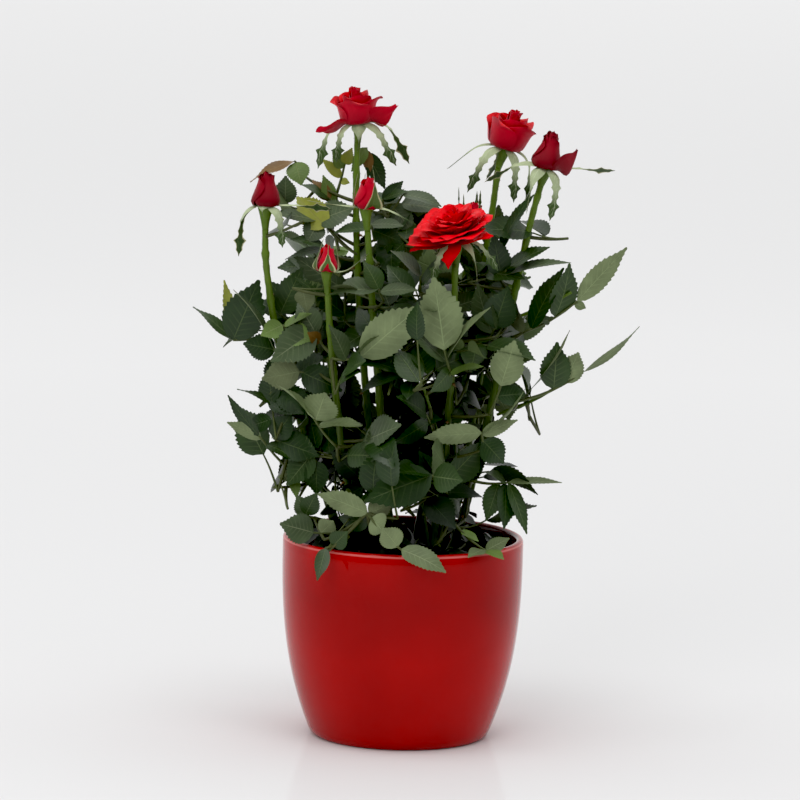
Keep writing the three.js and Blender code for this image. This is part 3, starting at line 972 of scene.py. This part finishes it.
shownSprays = [
    # in mm, each compound leaf that shapes the crown: where its stalk starts and ends, then its leaflets:
    # how far along the stalk, the tip, the width, the way its upper face looks, the tone
    ((-76, -8, 229), (-98, -10, 224), [
        (1.0, (-84, -14, 259), 23, "front", "dark"), (1.0, (-121, -6, 242), 8, "up", "mid"),
        (0.9, (-104, -2, 257), 8, "front", "young")]),
    ((-62, -22, 214), (-75, -24, 222), [
        (1.0, (-98, -28, 255), 13, "edge", "grey"), (0.9, (-92, -22, 224), 15, "front", "dark")]),
    ((-50, -28, 210), (-60, -30, 210), [
        (1.0, (-81, -34, 206), 18, "under", "grey"), (0.9, (-36, -32, 200), 17, "front", "dark")]),
    ((-66, -4, 234), (-72, -6, 239), [
        (1.0, (-60, -8, 266), 16, "front", "mid"), (0.4, (-90, 4, 246), 12, "up", "dark")]),
    ((-36, 0, 236), (-36, -2, 253), [
        (1.0, (-65, -6, 272), 16, "left", "grey"), (0.2, (-64, -14, 261), 13, "front", "mid")]),
    ((-62, -26, 228), (-70, -30, 236), [
        (1.0, (-82, -32, 230), 11, "front", "fresh"), (0.6, (-54, -34, 228), 14, "front", "fresh"),
        (0.9, (-54, -30, 243), 8, "up", "fresh")]),
    ((-48, -30, 226), (-52, -30, 233), [
        (1.0, (-76, -36, 216), 20, "front", "grey"), (0.8, (-62, -24, 248), 15, "front", "grey"),
        (0.2, (-56, -36, 233), 7, "front", "bronze")]),
    ((-42, -46, 220), (-26, -52, 222), [
        (0.5, (-44, -54, 240), 13, "right", "grey"), (1.0, (7, -62, 253), 22, "under", "pale"),
        (0.6, (-3, -44, 213), 17, "up", "dark")]),
    ((25, -48, 212), (20, -58, 228), [
        (1.0, (13, -62, 269), 25, "under", "pale"), (0.7, (45, -62, 253), 12, "edgeLeft", "pale"),
        (0.6, (-3, -50, 241), 17, "up", "grey"), (0.3, (13, -60, 205), 13, "edge", "mid")]),
    ((18, -50, 206), (24, -52, 214), [(1.0, (42, -54, 219), 9, "up", "fresh")]),
    ((46, -40, 190), (52, -46, 207), [
        (1.0, (59, -48, 233), 19, "under", "pale"), (0.7, (66, -38, 202), 12, "front", "dark")]),
    ((62, -28, 196), (98, -26, 213), [
        (1.0, (129, -22, 239), 7, "edge", "pale"), (0.55, (83, -28, 230), 17, "front", "mid"),
        (0.72, (95, -32, 225), 14, "under", "pale"), (0.05, (90, -30, 237), 10, "edge", "grey")]),
    ((64, -14, 233), (94, -12, 251), [
        (1.0, (121, -12, 282), 12, "under", "pale"), (0.6, (89, -18, 273), 17, "right", "mid"),
        (0.15, (86, -14, 270), 14, "left", "dark"), (0.95, (99, -10, 247), 5, "front", "pale"),
        (0.5, (74, -16, 240), 5, "front", "grey")]),
    ((50, -8, 262), (54, -12, 268), [
        (1.0, (78, -10, 281), 13, "up", "mid"), (0.5, (90, -16, 273), 11, "up", "grey"),
        (0.3, (46, -14, 288), 14, "front", "dark")]),
    ((46, -8, 266), (50, -12, 279), [(1.0, (68, -16, 311), 8, "left", "dark")]),
    ((46, -18, 230), (48, -22, 236), [
        (1.0, (55, -24, 260), 19, "front", "dark"), (0.5, (38, -18, 260), 16, "left", "grey")]),
    ((6, -28, 256), (6, -34, 266), [
        (1.0, (-11, -38, 280), 16, "up", "grey"), (0.5, (22, -36, 278), 12, "up", "mid")]),
    ((-14, -38, 252), (-17, -42, 259), [
        (1.0, (-44, -46, 256), 19, "up", "grey"), (0.8, (5, -44, 259), 15, "up", "grey"),
        (0.9, (-26, -38, 274), 13, "up", "mid")]),
    ((-56, -16, 180), (-67, -18, 187), [
        (1.0, (-95, -20, 198), 7, "up", "mid"), (0.7, (-84, -18, 180), 12, "up", "dark")]),
    ((-56, -18, 146), (-82, -22, 172), [
        (1.0, (-100, -24, 195), 7, "left", "dark"), (0.95, (-100, -26, 180), 8, "under", "pale"),
        (0.85, (-62, -28, 160), 12, "up", "mid"), (0.2, (-71, -24, 149), 7, "under", "pale"),
        (0.25, (-60, -24, 137), 6, "front", "fresh")]),
    ((-64, -20, 166), (-74, -22, 171), [
        (1.0, (-64, -24, 185), 14, "front", "dark"), (0.8, (-48, -26, 162), 17, "front", "dark")]),
    ((-48, -22, 156), (-52, -24, 163), [
        (1.0, (-66, -26, 145), 15, "front", "mid"), (0.5, (-49, -28, 140), 14, "front", "dark")]),
    ((-38, -42, 170), (-51, -46, 186), [
        (1.0, (-73, -50, 206), 10, "edge", "pale"), (0.95, (-45, -54, 202), 20, "under", "pale"),
        (0.8, (-24, -52, 184), 11, "up", "pale")]),
    ((-20, -60, 136), (-1, -71, 118), [
        (0.0, (-48, -64, 147), 13, "under", "pale"), (0.02, (-6, -60, 143), 12, "under", "grey"),
        (0.1, (-11, -68, 127), 14, "under", "pale"), (0.9, (-12, -72, 130), 14, "under", "pale"),
        (1.0, (24, -77, 107), 14, "right", "pale")]),
    ((22, -50, 152), (15, -58, 158), [
        (1.0, (-22, -62, 143), 23, "front", "dark"), (0.9, (32, -62, 156), 17, "front", "mid")]),
    ((44, -36, 170), (42, -42, 180), [
        (1.0, (10, -46, 177), 12, "under", "pale"), (0.95, (66, -44, 206), 9, "edge", "pale"),
        (0.6, (55, -36, 162), 15, "front", "dark"), (0.9, (62, -38, 187), 8, "under", "pale")]),
    ((36, -22, 150), (58, -28, 150), [
        (1.0, (88, -30, 151), 8, "up", "pale"), (0.95, (45, -32, 156), 11, "up", "grey"),
        (0.75, (46, -34, 129), 12, "front", "mid"), (0.9, (56, -36, 125), 13, "right", "dark"),
        (1.0, (69, -34, 122), 10, "right", "mid")]),
    ((26, -38, 130), (46, -50, 115), [
        (1.0, (59, -48, 122), 8, "front", "pale"), (1.0, (56, -60, 112), 8, "up", "fresh"),
        (0.95, (36, -62, 113), 8, "up", "pale"), (0.3, (42, -44, 119), 7, "up", "fresh")]),
    ((-30, -42, 124), (-50, -40, 121), [
        (1.0, (-69, -42, 126), 17, "front", "grey"), (0.8, (-39, -46, 129), 11, "under", "pale")]),
    ((-50, -32, 128), (-55, -34, 130), [
        (1.0, (-49, -36, 143), 11, "front", "mid"), (0.8, (-60, -34, 141), 10, "front", "grey")]),
    ((-30, -50, 121), (-43, -60, 116), [
        (0.7, (-31, -62, 126), 11, "front", "mid"), (1.0, (-47, -73, 100), 8, "front", "mid")]),
    ((-60, 18, 314), (-66, 16, 323), [
        (1.0, (-91, 12, 311), 8, "up", "bronze"), (0.95, (-62, 10, 310), 13, "front", "fresh")]),
    ((-64, 14, 296), (-71, 12, 299), [(1.0, (-71, 12, 315), 13, "front", "grey")]),
    ((-42, 10, 298), (-46, 8, 303), [
        (1.0, (-62, 4, 311), 11, "up", "mid"), (0.9, (-56, 12, 313), 8, "front", "bronze"),
        (0.5, (-50, 10, 316), 8, "front", "fresh")]),
    ((-42, 12, 306), (-38, 14, 322), [
        (0.6, (-51, 12, 325), 6, "front", "young"), (0.9, (-45, 12, 329), 8, "front", "fresh"),
        (1.0, (-34, 8, 332), 7, "front", "young"), (0.5, (-35, 10, 312), 4, "front", "young")]),
    ((-24, 16, 308), (-26, 12, 332), [
        (1.0, (-34, 4, 319), 7, "front", "fresh"), (0.95, (-24, 10, 317), 6, "front", "bronze"),
        (0.9, (-15, 12, 309), 10, "front", "dark")]),
    ((-46, -2, 288), (-53, -4, 292), [
        (1.0, (-79, -8, 296), 12, "up", "grey"), (0.9, (-32, -6, 300), 17, "left", "grey"),
        (0.8, (-58, -10, 280), 13, "front", "grey")]),
    ((-20, -6, 282), (-22, -10, 291), [
        (1.0, (-4, -12, 291), 12, "up", "grey"), (0.8, (-43, -12, 286), 11, "up", "mid"),
        (0.7, (-4, -6, 281), 11, "front", "dark")]),
    ((-42, -4, 272), (-48, -8, 278), [
        (1.0, (-67, -12, 282), 11, "up", "mid"), (0.8, (-70, -8, 270), 8, "up", "mid")]),
    ((-12, 4, 296), (-5, 2, 307), [(1.0, (17, 0, 301), 12, "up", "grey")]),
    ((-16, 6, 298), (-16, 4, 304), [
        (1.0, (-2, 2, 309), 9, "up", "mid"), (0.8, (-5, 8, 314), 8, "front", "dark"),
        (0.6, (-30, 8, 306), 10, "up", "fresh")]),
]


def growShown(wood, leaves, stalks, twigs):
    shown = []
    for foot, end, leaflets in shownSprays:
        foot, end = np.array(foot) * mm, np.array(end) * mm
        root = nearestWood(wood, foot)
        if np.linalg.norm(root - foot) > 0.002:
            wood.extend(growTwig(root, foot, unit([foot[0], foot[1], 0]), twigs))
        line = leafStalk(foot, end, -0.06 * np.linalg.norm(end - foot))
        addTube(stalks, line, np.linspace(0.0009, 0.0006, len(line)), sides=6)
        for share, tip, width, face, tone in leaflets:
            at = share * (len(line) - 1)
            low = min(int(at), len(line) - 2)
            start = between(line[low], line[low + 1], at - low)
            gap = np.array(tip) * mm - start
            arch = dice.uniform(0.15, 0.55)
            normal = squareTo(unit(gap), faces[face])
            way = turnAbout(unit(gap), np.cross(unit(gap), normal), arch / 2)
            chord = math.sin(arch / 2) / (arch / 2)
            addLeaflet(leaves, tone, start, way, normal, np.linalg.norm(gap) / chord, width * mm,
                       arch, about(0.16, 0.1), about(0.0, 0.15))
            shown.append((start + gap * 0.5, max(width, 12) * 0.5 * mm))
    print(len(shown), "shown leaflets")
    return shown


def leaning(lean):
    # axes that lean towards the front and to the right
    x, y = lean
    return np.array(Matrix.Rotation(y, 3, "Y") @ Matrix.Rotation(x, 3, "X"))


def petalGrid(spin, r0, z0, length, width, tilt, curl, turn=0.5, spiral=0.0, openness=0.0, point=0.2,
              twist=0.0, narrow=0.0, ruffle=0.0, marginRoll=0.55, rows=11, columns=9):
    # one petal in its flower's own axes: it leans from the axis by tilt[0] at its foot, by tilt[1] past turn,
    # and its tip curls back, its margins most by marginRoll
    u = np.linspace(-1, 1, columns)[None, :]
    v = np.linspace(0, 1, rows)[:, None]
    stretch = length * (1 - point * np.abs(u) ** 1.7 * smooth(0.4, 1, v))
    curled = curl * smooth(0.6, 1.0, v) ** 1.3 * (1 - marginRoll + marginRoll * u * u)
    lean = tilt[0] + (tilt[1] - tilt[0]) * smooth(0, turn, v) + curled
    step = 1 / (rows - 1)
    radius = r0 + np.cumsum(np.sin(lean) * stretch * step, axis=0) - np.sin(lean[:1]) * stretch[:1] * step
    height = z0 + np.cumsum(np.cos(lean) * stretch * step, axis=0) - np.cos(lean[:1]) * stretch[:1] * step
    pointed = 1 - narrow * smooth(0.4, 1.0, v)
    lower = np.sin(np.clip(v / 0.5, 0, 1) * math.pi / 2) ** 0.7 * 0.8 + 0.2
    upper = 1 - np.clip((v - 0.5) / 0.5, 0, 1) ** 2.6 * 0.5
    outline = pointed * np.where(v < 0.5, lower, upper)
    sideways = width / 2 * outline * u
    height = height + sideways * math.sin(twist) * smooth(0.0, 0.4, v)
    sideways = sideways * (1 - (1 - math.cos(twist)) * smooth(0.0, 0.4, v))
    radius = radius + spiral * u * v
    height = height + ruffle * length * np.sin(u * 5 + spin * 3) * v ** 2
    radius = radius + ruffle * length * np.cos(u * 4 + spin * 5) * v ** 2 * 0.7
    around = sideways / np.maximum(radius, 0.0035)
    wrapped = np.stack([radius * np.cos(around), radius * np.sin(around), height + 0 * u], -1)
    flat = np.stack([radius + 0 * u, sideways, height + 0 * u], -1)
    grid = wrapped * (1 - openness) + flat * openness
    c, s = math.cos(spin), math.sin(spin)
    x, y = grid[..., 0].copy(), grid[..., 1].copy()
    grid[..., 0] = x * c - y * s
    grid[..., 1] = x * s + y * c
    return grid


def addPetal(batch, place, axes, grid, thickness=0.0005):
    # the grid's upper face is the petal's inner face
    world = grid @ axes.T + place
    addBlade(batch, world[:, ::-1], thickness)


flowers = {
    # lean: towards the front, to the right, in radians; rise and aside: from its cane's tip, in mm
    # spread: its loose petals, each by spin, length, width, lean at foot and at tip, curl, twist
    # sepals: each by spin, length, lean at foot and at tip, how leafy, share of the usual width
    # lengths in mm, a spin of 0 to the right and of -1.57 to the front
    "bloom_top": {
        "lean": (0.08, -0.13), "kind": "cup", "size": 1.0, "seed": 3, "rise": 2.5,
        "spread": [(-0.4, 24, 18, 1.45, 1.1, -0.2, -0.85), (3.5, 22, 14, 1.5, 1.85, -0.9, 0.7)],
        "sepals": [
            (-1.5, 17, 2.3, 3.05, 0, 1.3), (3.1, 36, 1.5, 2.75, 1, 1.0), (-2.5, 27, 1.7, 3.0, 1, 0.9),
            (-0.6, 33, 1.9, 2.85, 1, 1.3), (0.1, 40, 1.7, 2.75, 1, 1.0)],
    },
    "bloom_right": {
        "lean": (0.06, 0.27), "kind": "cup", "size": 1.1, "seed": 8, "rise": 2.8, "aside": 2.4,
        "spread": [],
        "sepals": [
            (3.2, 31, 1.7, 2.55, 0, 0.7), (-2.3, 32, 1.9, 3.05, 1, 1.1), (-0.9, 30, 1.9, 3.0, 1, 1.2),
            (0.2, 34, 1.7, 2.9, 1, 1.0), (1.6, 28, 1.8, 2.9, 1, 0.9)],
    },
    "bloom_far_right": {
        "lean": (0.06, 0.2), "kind": "bud", "colour": "dark", "size": 1.2, "seed": 5, "rise": 1,
        "spread": [(-0.5, 18, 15, 1.4, 0.36, -0.1, -0.75)],
        "sepals": [
            (0.0, 32, 1.3, 1.48, 1, 0.6), (3.3, 28, 1.5, 2.3, 1, 1.4), (-0.9, 27, 1.9, 3.0, 1, 1.1),
            (-2.0, 26, 1.9, 2.9, 0, 1.2), (1.7, 30, 1.8, 2.9, 1, 0.9)],
    },
    "bloom_open": {
        "lean": (0.24, -0.25), "kind": "open", "colour": "bright", "size": 1.06, "seed": 2, "rise": 12.5,
        "spread": [
            (-2.1, 15.5, 16, 1.7, 2.85, -0.3, 0.2), (-2.9, 22, 18, 1.45, 1.45, 0.3, 0),
            (-0.6, 21, 18, 1.45, 1.4, 0.4, 0)],
        "sepals": [
            (-0.9, 27, 1.8, 2.8, 0, 0.8), (-0.2, 28, 1.8, 2.8, 1, 0.8), (1.2, 24, 1.8, 2.6, 1, 0.9),
            (2.4, 24, 1.8, 2.6, 1, 0.9), (3.7, 24, 1.8, 2.6, 1, 0.9)],
    },
    "bud_left": {
        "lean": (0.0, 0.02), "kind": "bud", "colour": "dark", "size": 1.12, "seed": 6,
        "spread": [],
        "sepals": [
            (3.0, 30, 2.05, 3.1, 1, 1.5), (0.05, 31, 1.5, 1.6, 1, 0.5), (-0.8, 24, 1.9, 3.0, 1, 1.2),
            (-1.8, 9, 1.6, 2.3, 0, 1.2), (1.6, 18, 1.7, 2.6, 0, 1.0)],
    },
    "bud_front": {
        "cane": "cane_front_left", "lean": (0.0, 0.04), "kind": "bud", "size": 0.86, "seed": 7,
        "spread": [],
        "sepals": [
            (-1.5, 24, 1.6, -0.42, 0, 1.5), (-2.8, 25, 1.6, -0.3, 0, 1.3), (-0.1, 24, 1.6, -0.26, 0, 1.3),
            (-0.5, 30, 1.6, 0.8, 0, 0.45), (1.6, 24, 1.6, -0.3, 0, 1.4)],
    },
    "bud_centre": {
        "lean": (0.08, 0.04), "kind": "bud", "size": 1.0, "seed": 9,
        "spread": [],
        "sepals": [
            (-1.1, 32, 1.6, 0.12, 0, 1.8), (-0.2, 27, 1.5, 1.95, 0, 0.6), (3.2, 22, 1.6, -0.1, 0, 1.2),
            (1.8, 22, 1.6, -0.2, 0, 1.3), (-2.9, 30, 1.5, 1.5, 0, 0.5)],
    },
    "bud_back": {
        "lean": (0.0, 0.06), "kind": "bud", "size": 0.86, "seed": 4,
        "spread": [],
        "sepals": [
            (-1.2, 30, 1.5, -0.1, 0.25, 0.9), (0.1, 28, 1.5, 0.1, 0.25, 0.9),
            (1.4, 27, 1.5, 0.0, 0.25, 0.9), (2.7, 30, 1.5, 0.12, 0.25, 0.9),
            (3.9, 26, 1.5, 0.0, 0.25, 0.9)],
    },
}

petalRounds = {
    # how many, then foot radius, foot height, length, width, lean at foot and tip, curl, spiral, point
    "bud": [
        (3, 1.4, 2.4, 16, 12, (1.0, -0.16), 0.05, 0.9, 0.1),
        (3, 3.4, 1.2, 17, 17, (1.4, -0.34), 0.12, 1.3, 0.14),
        (3, 4.6, 0.4, 18, 21, (1.5, -0.42), 0.3, 1.7, 0.2)],
    "cup": [
        (3, 0.8, 4.6, 16.5, 12, (0.5, -0.3), 0.1, 1.2, 0.08),
        (4, 2.0, 3.2, 17.5, 17, (0.9, -0.2), 0.25, 1.6, 0.1),
        (4, 4.2, 1.4, 17.2, 22, (1.25, 0.0), 0.4, 2.2, 0.16),
        (4, 5.9, 0.4, 17.6, 27, (1.45, 0.14), 0.75, 2.7, 0.34)],
}

openPetals = 34
goldenTurn = 2.39996  # radians from one petal to the next


def makeFlower(name, petals, sepals, hips):
    spec = flowers[name]
    roll = random.Random(spec["seed"])
    cane, girths = limbs[spec.get("cane", "cane" + name[name.index("_"):])]
    stem = cane[-1]
    rise = spec.get("rise", 0) * mm
    place = np.array([stem[0] + spec.get("aside", 0) * mm, stem[1], stem[2] + 0.0004 + rise])
    axes = leaning(spec["lean"])
    k = spec["size"] * mm
    batch = newBatch()
    spin = roll.uniform(0, 6)
    if spec["kind"] == "open":
        for i in range(openPetals):
            share = i / (openPetals - 1)
            tip = 0.05 + 1.25 * share ** 0.9 + roll.uniform(-0.14, 0.14)
            addPetal(batch, place, axes, petalGrid(
                spin + i * goldenTurn + roll.uniform(-0.2, 0.2),
                (0.8 + 3.8 * share) * k, (5.5 - 4 * share) * k,
                (11.5 + 9 * share + roll.uniform(-1, 1)) * k, (12 + 18 * share + roll.uniform(-2, 2)) * k,
                (0.25 + 0.8 * share, tip), roll.uniform(0.2, 0.75), turn=0.6, spiral=1.6 * k,
                openness=0.1 + 0.4 * share, point=0.04, ruffle=0.04, marginRoll=0.1))
    else:
        for count, r0, z0, length, width, tilt, curl, spiral, point in petalRounds[spec["kind"]]:
            spin += roll.uniform(0.4, 0.9)
            for i in range(count):
                turned = (tilt[0], tilt[1] + roll.uniform(-0.06, 0.06))
                addPetal(batch, place, axes, petalGrid(
                    spin + i * 2 * math.pi / count + roll.uniform(-0.15, 0.15), r0 * k, z0 * k,
                    length * roll.uniform(0.95, 1.05) * k, width * k, turned, curl * roll.uniform(0.7, 1.3),
                    turn=0.36, spiral=spiral * k, point=point, ruffle=0.012, marginRoll=0.35))
    for heading, length, width, foot, lean, curl, twist in spec["spread"]:
        addPetal(batch, place, axes, petalGrid(
            heading, 3.4 * k, 1.0 * k, length * k, width * k, (foot, lean), curl, turn=0.8,
            openness=0.6, point=0.3, twist=twist, narrow=0.72, ruffle=0.03))
    finishBatch(batch, name + "_petals", petals[spec.get("colour", "plain")], [name])
    for heading, length, foot, lean, leafy, wide in spec["sepals"]:
        grid = sepalGrid(heading, length * k, (foot, lean), leafy, wide, roll)
        world = grid @ axes.T + place
        addBlade(sepals, world[:, ::-1], 0.0004)
    # the hip swells out of the stem a little way below its tip
    below = int(np.argmin(np.abs(np.linalg.norm(cane - stem, axis=1) - max(0.011 - rise, 0.003))))
    t = np.linspace(0, 1, 11)[:, None]
    middle, end = place - axes[:, 2] * 5 * k, place + axes[:, 2] * 2.2 * k
    line = (1 - t) ** 2 * cane[below] + 2 * t * (1 - t) * middle + t ** 2 * end
    radii = np.interp(t[:, 0], [0.3, 0.6, 0.84, 1], [2.1, 3.0, 4.0, 3.1]) * k
    radii = np.where(t[:, 0] < 0.3, between(girths[below] * 1.02, 2.1 * k, t[:, 0] / 0.3), radii)
    addTube(hips, line, radii, sides=14)


def sepalGrid(spin, length, lean, leafy, wide, roll):
    # broad at the foot, thin along its middle, and often with a leafy lobed end
    rows = 19
    t = np.linspace(0, 1, rows)
    angle = lean[0] + (lean[1] - lean[0]) * smooth(0.0, 0.6 if lean[1] > 0.6 else 0.34, t)
    out = 3.0 * mm + np.cumsum(np.sin(angle)) * length / rows
    rise = 0.6 * mm + np.cumsum(np.cos(angle)) * length / rows
    belly = 0.7 + 0.5 * np.sin(math.pi * np.clip(t * 2.4, 0, 1))
    half = (3.0 * wide * np.clip(1 - t / 0.62, 0, 1) ** 0.75 * belly + 0.42 * (1 - t) + 0.1) * mm
    lobe = np.where(np.arange(rows) % 3 == 1, 1.0, 0.25)
    half = half + leafy * 3.4 * mm * np.exp(-((t - 0.76) / 0.15) ** 2) * (0.45 + lobe * 0.7)
    half = half + leafy * 1.7 * mm * np.exp(-((t - 0.42) / 0.14) ** 2) * lobe
    half[-1] = 0.1 * mm
    sway = roll.uniform(-0.35, 0.35) * t ** 2
    hanging = lean[1] > 0.6  # a hanging sepal twists on itself
    turned = (roll.choice([-1, 1]) * roll.uniform(0.7, 1.3) if hanging else 0) * smooth(0.3, 0.7, t)
    grid = np.zeros((rows, 5, 3))
    for k, s in enumerate((-1, -0.5, 0, 0.5, 1)):
        a = spin + sway
        cup = -0.4 * half * (1 - abs(s)) + half * s * np.sin(turned)
        across = half * s * np.cos(turned)
        grid[:, k, 0] = (out + cup * np.cos(angle)) * np.cos(a) - across * np.sin(a)
        grid[:, k, 1] = (out + cup * np.cos(angle)) * np.sin(a) + across * np.cos(a)
        grid[:, k, 2] = rise - cup * np.sin(angle)
    return grid


def spun(name, profile, steps=96):
    # a closed profile of (radius, height) turned round the upright axis
    shape = bmesh.new()
    ring = [shape.verts.new((r, 0, z)) for r, z in profile]
    edges = [shape.edges.new((a, b)) for a, b in zip(ring, ring[1:])]
    bmesh.ops.spin(shape, geom=ring + edges, cent=(0, 0, 0), axis=(0, 0, 1), angle=2 * math.pi, steps=steps,
                   use_merge=True)
    bmesh.ops.remove_doubles(shape, verts=shape.verts, dist=1e-6)
    bmesh.ops.recalc_face_normals(shape, faces=shape.faces)
    for face in shape.faces:
        face.smooth = True
    mesh = bpy.data.meshes.new(name)
    shape.to_mesh(mesh)
    shape.free()
    return mesh


pot = {
    "footShare": 50 / 68,  # of the rim's radius
    "belly": 2.6,  # the higher, the sooner the side comes upright
    "shoulderDrop": 0.007,
    "footRound": 0.0022,
    "footRecess": 0.0012,
    "wall": 0.0045,
    "floor": 0.006,
    "lipTurn": 12,
}


def makePot():
    low, high = boxOf("pot")
    height, rim = high[2], (high[0] - low[0]) / 2
    foot = rim * pot["footShare"]
    shoulder = height - pot["shoulderDrop"]
    edge, recess = pot["footRound"], pot["footRecess"]

    def outside(z):
        return foot + (rim - foot) * (1 - (1 - min(z / shoulder, 1)) ** pot["belly"])

    profile = [(0, recess), (foot * 0.86, recess), (foot * 0.9, 0), (foot - edge, 0)]
    profile += [(foot - edge * (1 - math.sin(a)), edge * (1 - math.cos(a))) for a in (0.5, 1.0)]
    profile += [(outside(z), z) for z in np.linspace(edge, shoulder, 34)]
    lip = pot["wall"] / 2
    for k in range(1, pot["lipTurn"]):
        a = math.pi * k / pot["lipTurn"]
        profile.append((rim - lip + lip * math.cos(a), height - lip + lip * math.sin(a)))
    profile += [(outside(z) - pot["wall"], z) for z in np.linspace(shoulder, pot["floor"] + 0.004, 22)]
    profile += [(foot - pot["wall"] - 0.003, pot["floor"]), (0, pot["floor"])]
    mesh = spun("pot_glazed", profile, 128)
    placePiece("pot_glazed", mesh, [glazeMaterial()], ["pot"])


growerPot = {"wall": 0.0012, "edge": 0.0006, "rimDepth": 0.006, "rimReach": 0.0035, "footShare": 0.73}


def makeGrowerPot():
    low, high = boxOf("grower_pot")
    flange, top, foot = high[0], high[2], low[2]
    wall, edge, depth = growerPot["wall"], growerPot["edge"], growerPot["rimDepth"]
    r = flange - growerPot["rimReach"]
    base = r * growerPot["footShare"]
    outer = [(0, foot), (base, foot), (r * 0.99, top - depth), (flange, top - depth), (flange, top - edge)]
    inner = [(flange - edge, top), (r - wall, top), (base - wall, foot + wall), (0, foot + wall)]
    material = plainMaterial("black_plastic", (0.012, 0.012, 0.012), 0.42, 0.5, 40.0, 0.1)
    mesh = spun("grower_pot_moulded", outer + inner, 72)
    placePiece("grower_pot_moulded", mesh, [material], ["grower_pot"])


peatLook = {"crumbs": 420, "rough": 0.00096, "rings": 7, "depth": 0.004}


def makePeat():
    high = boxOf("peat")[1]
    radius, top = high[0], high[2]
    shape = bmesh.new()
    bmesh.ops.create_circle(shape, cap_ends=True, cap_tris=False, radius=radius - 0.0006, segments=64)
    bmesh.ops.translate(shape, vec=(0, 0, top - 0.0022), verts=shape.verts)
    ringWidth = radius / (peatLook["rings"] + 1.5)
    for _ in range(peatLook["rings"]):
        middle = [f for f in shape.faces if len(f.verts) > 4]
        bmesh.ops.inset_region(shape, faces=middle, thickness=ringWidth, use_even_offset=True)
    for v in shape.verts:
        v.co.z += dice.uniform(-1, 1) * peatLook["rough"]
    bottom = bmesh.ops.extrude_face_region(shape, geom=shape.faces[:])
    skirt = [g for g in bottom["geom"] if isinstance(g, bmesh.types.BMVert)]
    bmesh.ops.translate(shape, vec=(0, 0, -peatLook["depth"]), verts=skirt)
    bmesh.ops.recalc_face_normals(shape, faces=shape.faces)
    for _ in range(peatLook["crumbs"]):
        a, r = dice.uniform(0, 2 * math.pi), (radius - 0.003) * math.sqrt(dice.random())
        size = dice.uniform(0.0005, 0.0018)
        made = bmesh.ops.create_icosphere(shape, subdivisions=1, radius=size)["verts"]
        bmesh.ops.scale(shape, vec=(dice.uniform(0.7, 1.6), dice.uniform(0.7, 1.4), 0.7), verts=made)
        bmesh.ops.rotate(shape, cent=(0, 0, 0), matrix=Matrix.Rotation(a * 3, 3, "Z"), verts=made)
        height = top - 0.0016 + size * 0.2
        bmesh.ops.translate(shape, vec=(r * math.cos(a), r * math.sin(a), height), verts=made)
    mesh = bpy.data.meshes.new("peat_crumbs")
    shape.to_mesh(mesh)
    shape.free()
    material = plainMaterial("peat", (0.028, 0.017, 0.010), 0.95, 0.2, 300.0, 0.8, 0.6)
    placePiece("peat_crumbs", mesh, [material], ["peat"])


makeStage()
makeFloor()
print("stage made")

makePot()
makeGrowerPot()
makePeat()
print("pot and peat made")

bark = barkMaterial("green_wood", (0.12, 0.215, 0.018), (0.05, 0.05, 0.016), boxOf("peat")[1][2])
thorn = plainMaterial("prickle", (0.22, 0.12, 0.045), 0.45, 0.5, 400.0, 0.1)
makeLimbs(bark, thorn)

petals = petalMaterials()
sepals, hips = newBatch(), newBatch()
for name in flowers:
    makeFlower(name, petals, sepals, hips)
sepalInside = bladeMaterial("sepal_inside", (0.46, 0.54, 0.32), (0.6, 0.66, 0.45), 0.6, 0.2,
                            tip=(0.05, 0.09, 0.025))
sepalOutside = bladeMaterial("sepal_outside", (0.09, 0.15, 0.035), (0.15, 0.2, 0.07), 0.5, 0.3,
                             margin=(0.5, 0.48, 0.27), tip=(0.035, 0.07, 0.018))
finishBatch(sepals, "sepals", [sepalInside, sepalOutside])
finishBatch(hips, "hips", [bark])
print("flowers made")

tones = leafMaterials()
leaves = {tone: newBatch() for tone in tones}
stalks, twigs = newBatch(), newBatch()
masses = sorted(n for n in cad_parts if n.startswith("foliage"))
allWood = [p for line, _ in limbs.values() for p in line[::2] if p[2] > 0.1]
fits = crownTest(growShown(allWood, leaves, stalks, twigs))
growFoot(allWood, leaves, stalks, twigs)
growTips(leaves, stalks)
for name in [n for n in masses if n not in growth["shownOnly"]]:
    low, high = boxOf(name)
    wood = [p for p in allWood if (p > low - 0.03).all() and (p < high + 0.03).all()]
    growMass(name, wood or allWood, leaves, stalks, twigs, fits)
stalkMaterial = plainMaterial("leaf_stalk", (0.085, 0.11, 0.03), 0.5, 0.4, 200.0, 0.1)
twigMaterial = plainMaterial("twig", (0.075, 0.09, 0.026), 0.5, 0.4, 150.0, 0.2)
finishBatch(stalks, "leaf_stalks", [stalkMaterial])
finishBatch(twigs, "twigs", [twigMaterial])
for tone, batch in leaves.items():
    if batch["points"]:
        nodes = masses if tone == "dark" else ()
        finishBatch(batch, "leaves_" + tone, tones[tone], nodes)
print("foliage made")
